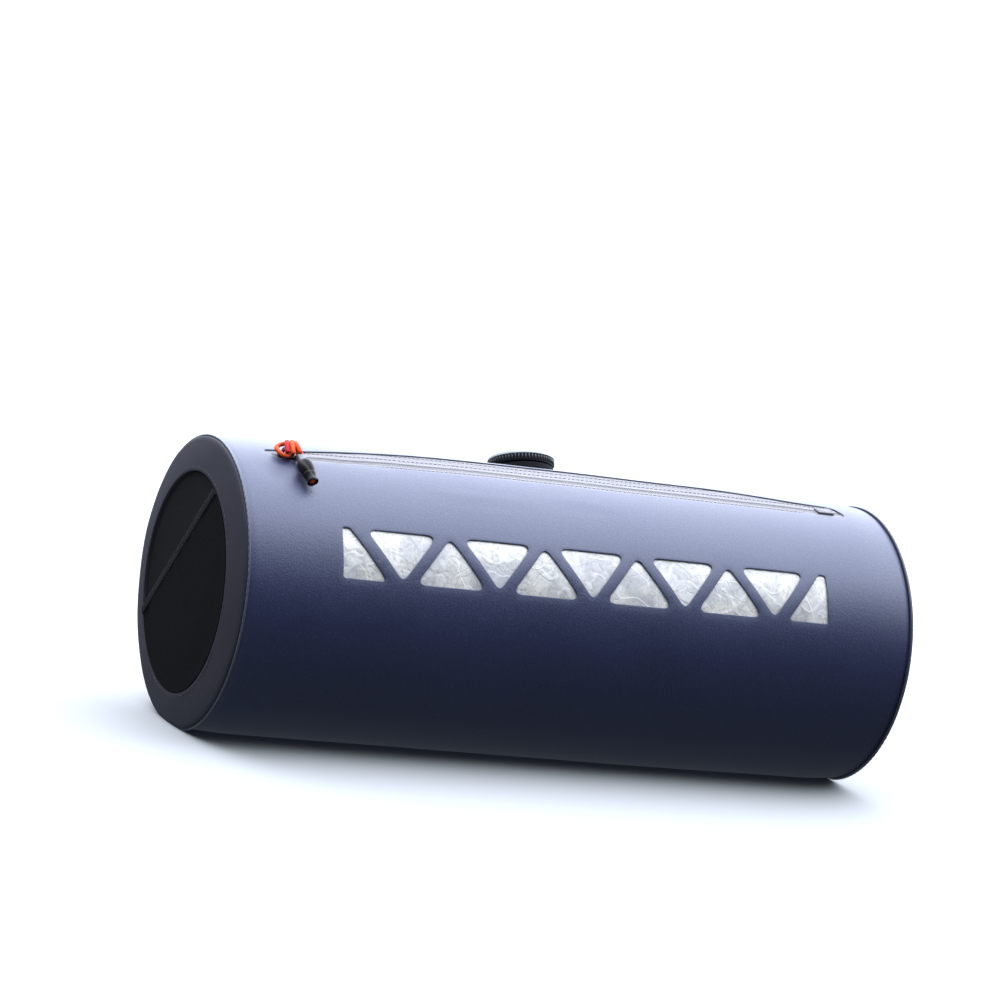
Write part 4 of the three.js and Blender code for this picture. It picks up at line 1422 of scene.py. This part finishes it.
def makeTape(name, toSeam, angle, node):
    def place(x, share):
        near = seamUp(x) + toSeam * zipLine["gap"] / 2
        up = near + (upFrom(angle) - near) * share
        return tapePoint(x, up, abs(up - near))

    span = (zipLine["tapeStart"] - halfLength, zipLine["tapeEnd"] - halfLength)
    piece = addSheet(name, place, span, (0, 1), *tapes["grid"], "zipTape")
    spots = [vertex.co for vertex in piece.data.vertices]
    setMap(piece, [(spot.x, math.atan2(spot.z - axisHeight, -spot.y) * bag["radius"]) for spot in spots])
    turnToward(piece, outward(78))
    thicken(piece, tapes["thick"])
    settle(piece, sharp=60)
    return finish(piece, "zip_tape", node)


def makeSeam():
    start, end = zipLine["seamStart"] - halfLength, zipLine["seamEnd"] - halfLength
    xs = [start + (end - start) * t for t in steps(tapes["seamSteps"])]
    rows = []
    for side in (-1, 1):
        ups = [seamUp(x) + side * tapes["loopOff"] for x in xs]
        points = [tapePoint(x, up, tapes["loopOff"], 0.05 * mm) for x, up in zip(xs, ups)]
        ways = [outward(math.degrees(up / bag["radius"])) for up in ups]
        line = addLine("seamRow", points[::-side], ways[::-side])
        rows.append(growNodes(line, trees["seam"], "zipTape", tapes["loops"]))
    for offset in tapes["rows"]:
        sewn = [tapePoint(x, seamUp(x) + offset * mm, abs(offset) * mm, 0.06 * mm) for x in xs]
        rows.append(stitchAlong("tapeRow", sewn, "tape", "tapeThread"))
    return finish(joinPieces("zipSeam", rows), "zip_tape")


# A flat outline drawn out from bottom to top
def addSlab(name, outline, bottom, top, frameOf, material):
    points = [frameOf @ Vector((p.x, p.y, z)) for z in (bottom, top) for p in outline]
    return faceOutward(addPiece(name, points, ringFaces(2, len(outline), True), material))


slider = {
    "long": 9 * mm,
    "wide": 5.6 * mm,
    "thick": 1.2 * mm,
    "bridgeSpan": 6 * mm,
    "bridgeWide": 2.2 * mm,
    "bridgeThick": 0.7 * mm,
    "bridgeHigh": 3.2 * mm,
    "plateEdge": 0.35 * mm,  # rounding, as the next
    "bridgeEdge": 0.18 * mm,
}
# half outlines as shares: of the plate's half length and half width, of the bridge's half span and height
plateOutline = [
    (-1, 0.42), (-0.86, 0.62), (-0.5, 0.74), (0.1, 1), (0.7, 1), (0.93, 0.86), (1, 0.6), (0.8, 0.24), (0.74, 0)
]
bridgeOutline = [
    (-1, -0.1), (-0.98, 0.45), (-0.86, 0.8), (-0.6, 0.97),
    (0, 1), (0.6, 0.97), (0.86, 0.8), (0.98, 0.45), (1, -0.1),
]


def makeSlider():
    frameOf = surfaceFrame(pull["sliderAlong"] - halfLength, pull["sliderAngle"], clothInner + 0.2 * mm)
    corners = [Vector((x * slider["long"] / 2, -y * slider["wide"] / 2)) for x, y in plateOutline]
    corners += [Vector((c.x, -c.y)) for c in reversed(corners[:-1])]
    plate = addSlab("sliderPlate", corners, 0, slider["thick"], frameOf, "zipMetal")
    soften(plate, slider["plateEdge"], 3)
    settle(plate, sharp=40)
    span, high, thick = slider["bridgeSpan"] / 2, slider["bridgeHigh"], slider["bridgeThick"]
    arch = [Vector((x * span, z * high)) for x, z in bridgeOutline]
    inner = [Vector((p.x * (1 - thick / span), max(p.y - thick, -0.1 * high))) for p in reversed(arch)]
    raised = Matrix.Translation((0, slider["bridgeWide"] / 2, slider["thick"]))
    turn = frameOf @ raised @ Matrix.Rotation(math.pi / 2, 4, "X")
    points = [turn @ Vector((p.x, p.y, z)) for z in (0, slider["bridgeWide"]) for p in arch + inner]
    count = len(arch) * 2
    faces = ringFaces(2, count)
    for i in range(len(arch) - 1):
        a, b, c, d = i, i + 1, count - 2 - i, count - 1 - i
        faces += [(a, b, c, d), (a + count, d + count, c + count, b + count)]
    bridge = faceOutward(addPiece("sliderBridge", points, faces, "zipMetal"))
    soften(bridge, slider["bridgeEdge"], 2)
    settle(bridge, sharp=45)
    return finish(joinPieces("zipSlider", [plate, bridge]), "zip_hardware", "zip_slider")


endStop = {
    "fromRight": 31.5 * mm,
    "angle": 77.2,
    "long": 9 * mm,
    "wide": 6 * mm,
    "thick": 0.9 * mm,
    "sunk": 0.2 * mm,
    "corner": 1.2 * mm,
    "edge": 0.3 * mm,
    "sewnLong": 0.8,  # the stitched line, as a share of the tab's length
    "sewnWide": 0.72,  # and of its width
}


def makeEndStop():
    frameOf = surfaceFrame(halfLength - endStop["fromRight"], endStop["angle"], clothInner + 0.1 * mm)
    long, wide = endStop["long"] / 2, endStop["wide"] / 2
    corners = roundCorners(
        [Vector(c) for c in ((-long, -wide), (long, -wide), (long, wide), (-long, wide))], endStop["corner"], 5
    )
    tab = addSlab("stopTab", corners, -endStop["sunk"], endStop["thick"], frameOf, "zipTape")
    soften(tab, endStop["edge"], 3)
    settle(tab, sharp=45)
    setMap(tab, [(frameOf.inverted() @ vertex.co).xy for vertex in tab.data.vertices])
    high, corners = endStop["thick"] + 0.02 * mm, corners + corners[:1]
    shares = (endStop["sewnLong"], endStop["sewnWide"])
    line = [frameOf @ Vector((p.x * shares[0], p.y * shares[1], high)) for p in corners]
    sewn = stitchAlong("stopStitches", line, "stop", "blackThread")
    return finish(joinPieces("zipEndStop", [tab, sewn]), "zip_hardware", "zip_end_stop")


makeTape("zipTapeFront", -1, zipLine["frontAngle"], "zip_tape_front")
makeTape("zipTapeRear", 1, zipLine["rearAngle"], "zip_tape_rear")
makeSeam()
makeSlider()
makeEndStop()
print("zip is built")


# Dial: ribbed side with painted highlights on its ribs, a bevelled rim whose light grey is a painted highlight,
# and a low crown
dial = {
    "along": -1.6 * mm,
    "angle": 116,
    "base": 70.7 * mm,  # distance from the bag's axis
    "radius": 16 * mm,
    "high": 5.2 * mm,
    "crown": 1.4 * mm,
    "bevel": 1.3 * mm,
    "rimTall": 1.5 * mm,
    "ribs": 60,
    "ribTall": 2.7 * mm,
    "ribWide": 0.85 * mm,
    "ribDeep": 1.1 * mm,
    "ribRoot": 0.65 * mm,  # how far the side lies inside the rim
    "bore": 4.3 * mm,
    "boreDeep": 3.3 * mm,
    "sides": 96,
}


def makeDial():
    frameOf = surfaceFrame(dial["along"], dial["angle"], dial["base"])
    radius, high, inner = dial["radius"], dial["high"], dial["radius"] - dial["bevel"]
    core, shoulder, low = radius - dial["ribRoot"], high - dial["rimTall"], inner - 1.6 * mm
    side = [
        (dial["boreDeep"], dial["bore"]), (0, dial["bore"]), (0, core - 0.6 * mm), (0.25 * mm, core - 0.1 * mm)
    ]
    side += [(0.6 * mm, core), (shoulder - 0.2 * mm, core)]
    rim = [
        (shoulder - 0.1 * mm, core - 0.3 * mm), (shoulder - 0.1 * mm, radius - 0.15 * mm), (shoulder, radius)
    ]
    rim += [(shoulder + 0.8 * mm, radius - 0.05 * mm), (high - 0.12 * mm, radius - 0.4 * mm)]
    rim += [(high - 0.08 * mm, inner - 0.1 * mm), (high, inner - 0.5 * mm), (high, inner - 1.3 * mm)]
    rim += [(high - 0.4 * mm, inner - 1.7 * mm)]
    crown = [(high - 0.5 * mm, low)]
    for t in steps(8):
        far, out = math.sin(t * math.pi / 2), math.cos(t * math.pi / 2)
        crown.append(
            (high - 0.1 * mm + (dial["crown"] + 0.1 * mm) * far, (low - 0.3 * mm) * out + (0.3 * mm if t else 0))
        )
    parts = []
    for name, rows, material in (
        ("Side", side, "dialPlastic"), ("Rim", rim, "dialRim"), ("Crown", crown, "dialPlastic")
    ):
        parts.append(addTurned("dial" + name, rows, dial["sides"], frameOf, material))
        setSharp(parts[-1], 38)
    blank = addLine("dialRibsPaintedHighlight", [Vector((0, 0, 0)), Vector((0, 0, mm))])
    ribs = growNodes(blank, trees["ring"], "dialRibsPaintedHighlight", {
        "Count": dial["ribs"], "Ring Radius": core, "Bar Wide": dial["ribWide"], "Bar Deep": dial["ribDeep"],
        "Bar Tall": dial["ribTall"],
    })
    ribs.data.transform(frameOf @ Matrix.Translation((0, 0, shoulder - 0.1 * mm - dial["ribTall"] / 2)))
    return finish(joinPieces("dialKnob", parts + [ribs]), "black_plastic", "dial_knob", body="dial")


makeDial()

# Bracket at the back: a curved plate, the dial's boss and spindle, and two cradles for a bar
bracket = {
    "plateInner": 68.3 * mm,
    "plateThick": 2 * mm,
    "plateLong": 66 * mm,
    "plateAngles": (119, 178),
    "plateCorner": 7 * mm,
    "plateGrid": (40, 48),  # steps along it and up it
    "bossRadius": 15.2 * mm,
    "bossTop": 70.4 * mm,
    "spindle": 4 * mm,
    "spindleHigh": 3 * mm,
    "barAngle": 153,
    "barRadius": 16.2 * mm,
    "barOut": 88.6 * mm,  # the bar's middle, from the bag's axis
    "cradleHigh": 84.3 * mm,
    "cradleWide": 36 * mm,
    "cradleLong": 12 * mm,
    "cradleSpacing": 50 * mm,
    "edge": 0.6 * mm,
}


def makePlate():
    low, high = (upFrom(degrees) for degrees in bracket["plateAngles"])
    corner, outer = bracket["plateCorner"], bracket["plateInner"] + bracket["plateThick"]

    def place(across, share):  # rows lie closer near the plate's rounded ends
        up = (low + high) / 2 - (high - low) / 2 * math.cos(math.pi * share)
        toEnd = min(up - low, high - up, corner)
        reach = bracket["plateLong"] / 2 - corner + math.sqrt(max(corner ** 2 - (corner - toEnd) ** 2, 0))
        return upSurface(across * reach, up, outer)

    piece = addSheet("plate", place, (-1, 1), (0, 1), *bracket["plateGrid"], "bracketPlastic")
    mergeDoubles(piece, 1e-5)
    turnToward(piece, outward(sum(bracket["plateAngles"]) / 2))
    thicken(piece, bracket["plateThick"] - 0.05 * mm)
    soften(piece, bracket["edge"], 3, 50)
    return settle(piece, sharp=40)


# The boss stands on the bag's round, so its foot follows that
def makeBoss():
    frameOf = placeFrame(
        (dial["along"], 0, axisHeight), Vector((1, 0, 0)), uphill(dial["angle"]), outward(dial["angle"])
    )
    radius, top, spindle, sides = bracket["bossRadius"], bracket["bossTop"], bracket["spindle"], dial["sides"]
    end, foot = top + bracket["spindleHigh"], bracket["plateInner"] + 0.05 * mm
    rows = [
        (radius, None), (radius, top - 0.5 * mm),
        (radius - 0.15 * mm, top - 0.15 * mm), (radius - 0.5 * mm, top),
    ]
    rows += [(spindle, top), (spindle, end - 0.3 * mm), (spindle - 0.3 * mm, end), (0.2 * mm, end)]
    points = []
    for wide, out in rows:
        for k in range(sides):
            x, y = wide * math.cos(2 * math.pi * k / sides), wide * math.sin(2 * math.pi * k / sides)
            points.append(frameOf @ Vector((x, y, out or math.sqrt(foot ** 2 - y * y))))
    return closeRings(addPiece("boss", points, ringFaces(len(rows), sides), "bossPlastic"))


# A cradle's outline seen along the bag: the foot in the plate, two horns and the bar's round between them
def makeCradle(side):
    wide, high, foot = bracket["cradleWide"] / 2, bracket["cradleHigh"], bracket["plateInner"] + 0.7 * mm
    bar, out = bracket["barRadius"], bracket["barOut"]
    outline = [(y * mm, math.sqrt(foot ** 2 - (y * mm) ** 2)) for y in (-18, -12, -6, 0, 6, 12, 18)]
    horn = [(wide, high - 1.2 * mm), (wide - 0.35 * mm, high - 0.35 * mm), (wide - 1.2 * mm, high)]
    reach = math.asin((out - high + 0.4 * mm) / bar)
    turns = [-reach - (math.pi - 2 * reach) * t for t in steps(32)]
    outline += horn + [(bar * math.cos(turn), out + bar * math.sin(turn)) for turn in turns]
    outline += [(-x, y) for x, y in reversed(horn)]
    middle = Vector((side * bracket["cradleSpacing"] / 2, 0, axisHeight))
    frameOf = placeFrame(middle, uphill(bracket["barAngle"]), outward(bracket["barAngle"]), Vector((1, 0, 0)))
    half = bracket["cradleLong"] / 2
    piece = addSlab("cradle", [Vector(spot) for spot in outline], -half, half, frameOf, "bracketPlastic")
    soften(piece, bracket["edge"], 3, 40)
    return settle(piece, sharp=40)


finish(
    joinPieces("barBracket", [makePlate(), makeBoss(), makeCradle(-1), makeCradle(1)]),
    "black_plastic", "bar_bracket",
)
print("dial and bracket are built")


# Studio: a pale floor under a broad soft sky, bright overhead and behind the bag and weak in front of it
studio = {
    "skyAxis": (0.26, 0.35, 0.9),
    "sky": (0.83, 0.89, 1.0, 1),
    "skyBrightness": 6.4,
    "sideAxis": (-0.85, -0.2, -0.5),  # a soft return of light from the floor on the left
    "sideBrightness": 1.1,
    "sideSpread": 5.0,
    "low": (0.78, 0.92, 1.0, 1),
    "lowBrightness": 0.16,
    "edge": (0.21, 0.8),  # where the bright part starts and is full, as a share toward the axis
    "floor": (0.36, 0.36, 0.362, 1),
    "floorReach": 40,
}


def makeSky():
    world = bpy.context.scene.world = bpy.data.worlds.new("studio")
    world.use_nodes = True
    tree = world.node_tree
    way = addNode(tree, "ShaderNodeTexCoord").outputs["Generated"]
    facing = []
    for name in ("skyAxis", "sideAxis"):
        axis = tuple(Vector(studio[name]).normalized())
        facing.append(
            addNode(tree, "ShaderNodeVectorMath", {0: way, 1: axis}, operation="DOT_PRODUCT").outputs["Value"]
        )
    share = ramp(tree, facing[0], *studio["edge"], kind="SMOOTHSTEP")
    colour = blendColours(tree, share, studio["low"], studio["sky"])
    bright = sums(
        tree, "MULTIPLY_ADD", share, studio["skyBrightness"] - studio["lowBrightness"], studio["lowBrightness"]
    )
    glow = sums(tree, "POWER", sums(tree, "MAXIMUM", facing[1], 0.0), studio["sideSpread"])
    feed(
        tree, tree.nodes["Background"],
        {0: colour, 1: sums(tree, "MULTIPLY_ADD", glow, studio["sideBrightness"], bright)},
    )


def makeStudio():
    makeSky()
    material, tree, shader = newMaterial("paleFloor", Roughness=0.9, Specular_IOR_Level=0.1)
    paler = tuple(min(part * 1.02, 1) for part in studio["floor"])
    speck = noiseAt(tree, objectPlace(tree), 3.0, 2.0)
    feed(tree, shader, {"Base Color": blendColours(tree, speck, studio["floor"], paler)})
    reach = studio["floorReach"]
    corners = [(-reach, -reach, 0), (reach, -reach, 0), (reach, reach, 0), (-reach, reach, 0)]
    floor = addPiece("floor", corners, [(0, 1, 2, 3)], "paleFloor")
    floor.visible_diffuse = floor.visible_glossy = False  # the weak low sky stands for its bounced light


makeStudio()
bpy.context.scene.view_settings.view_transform = "Standard"
print("studio is built")
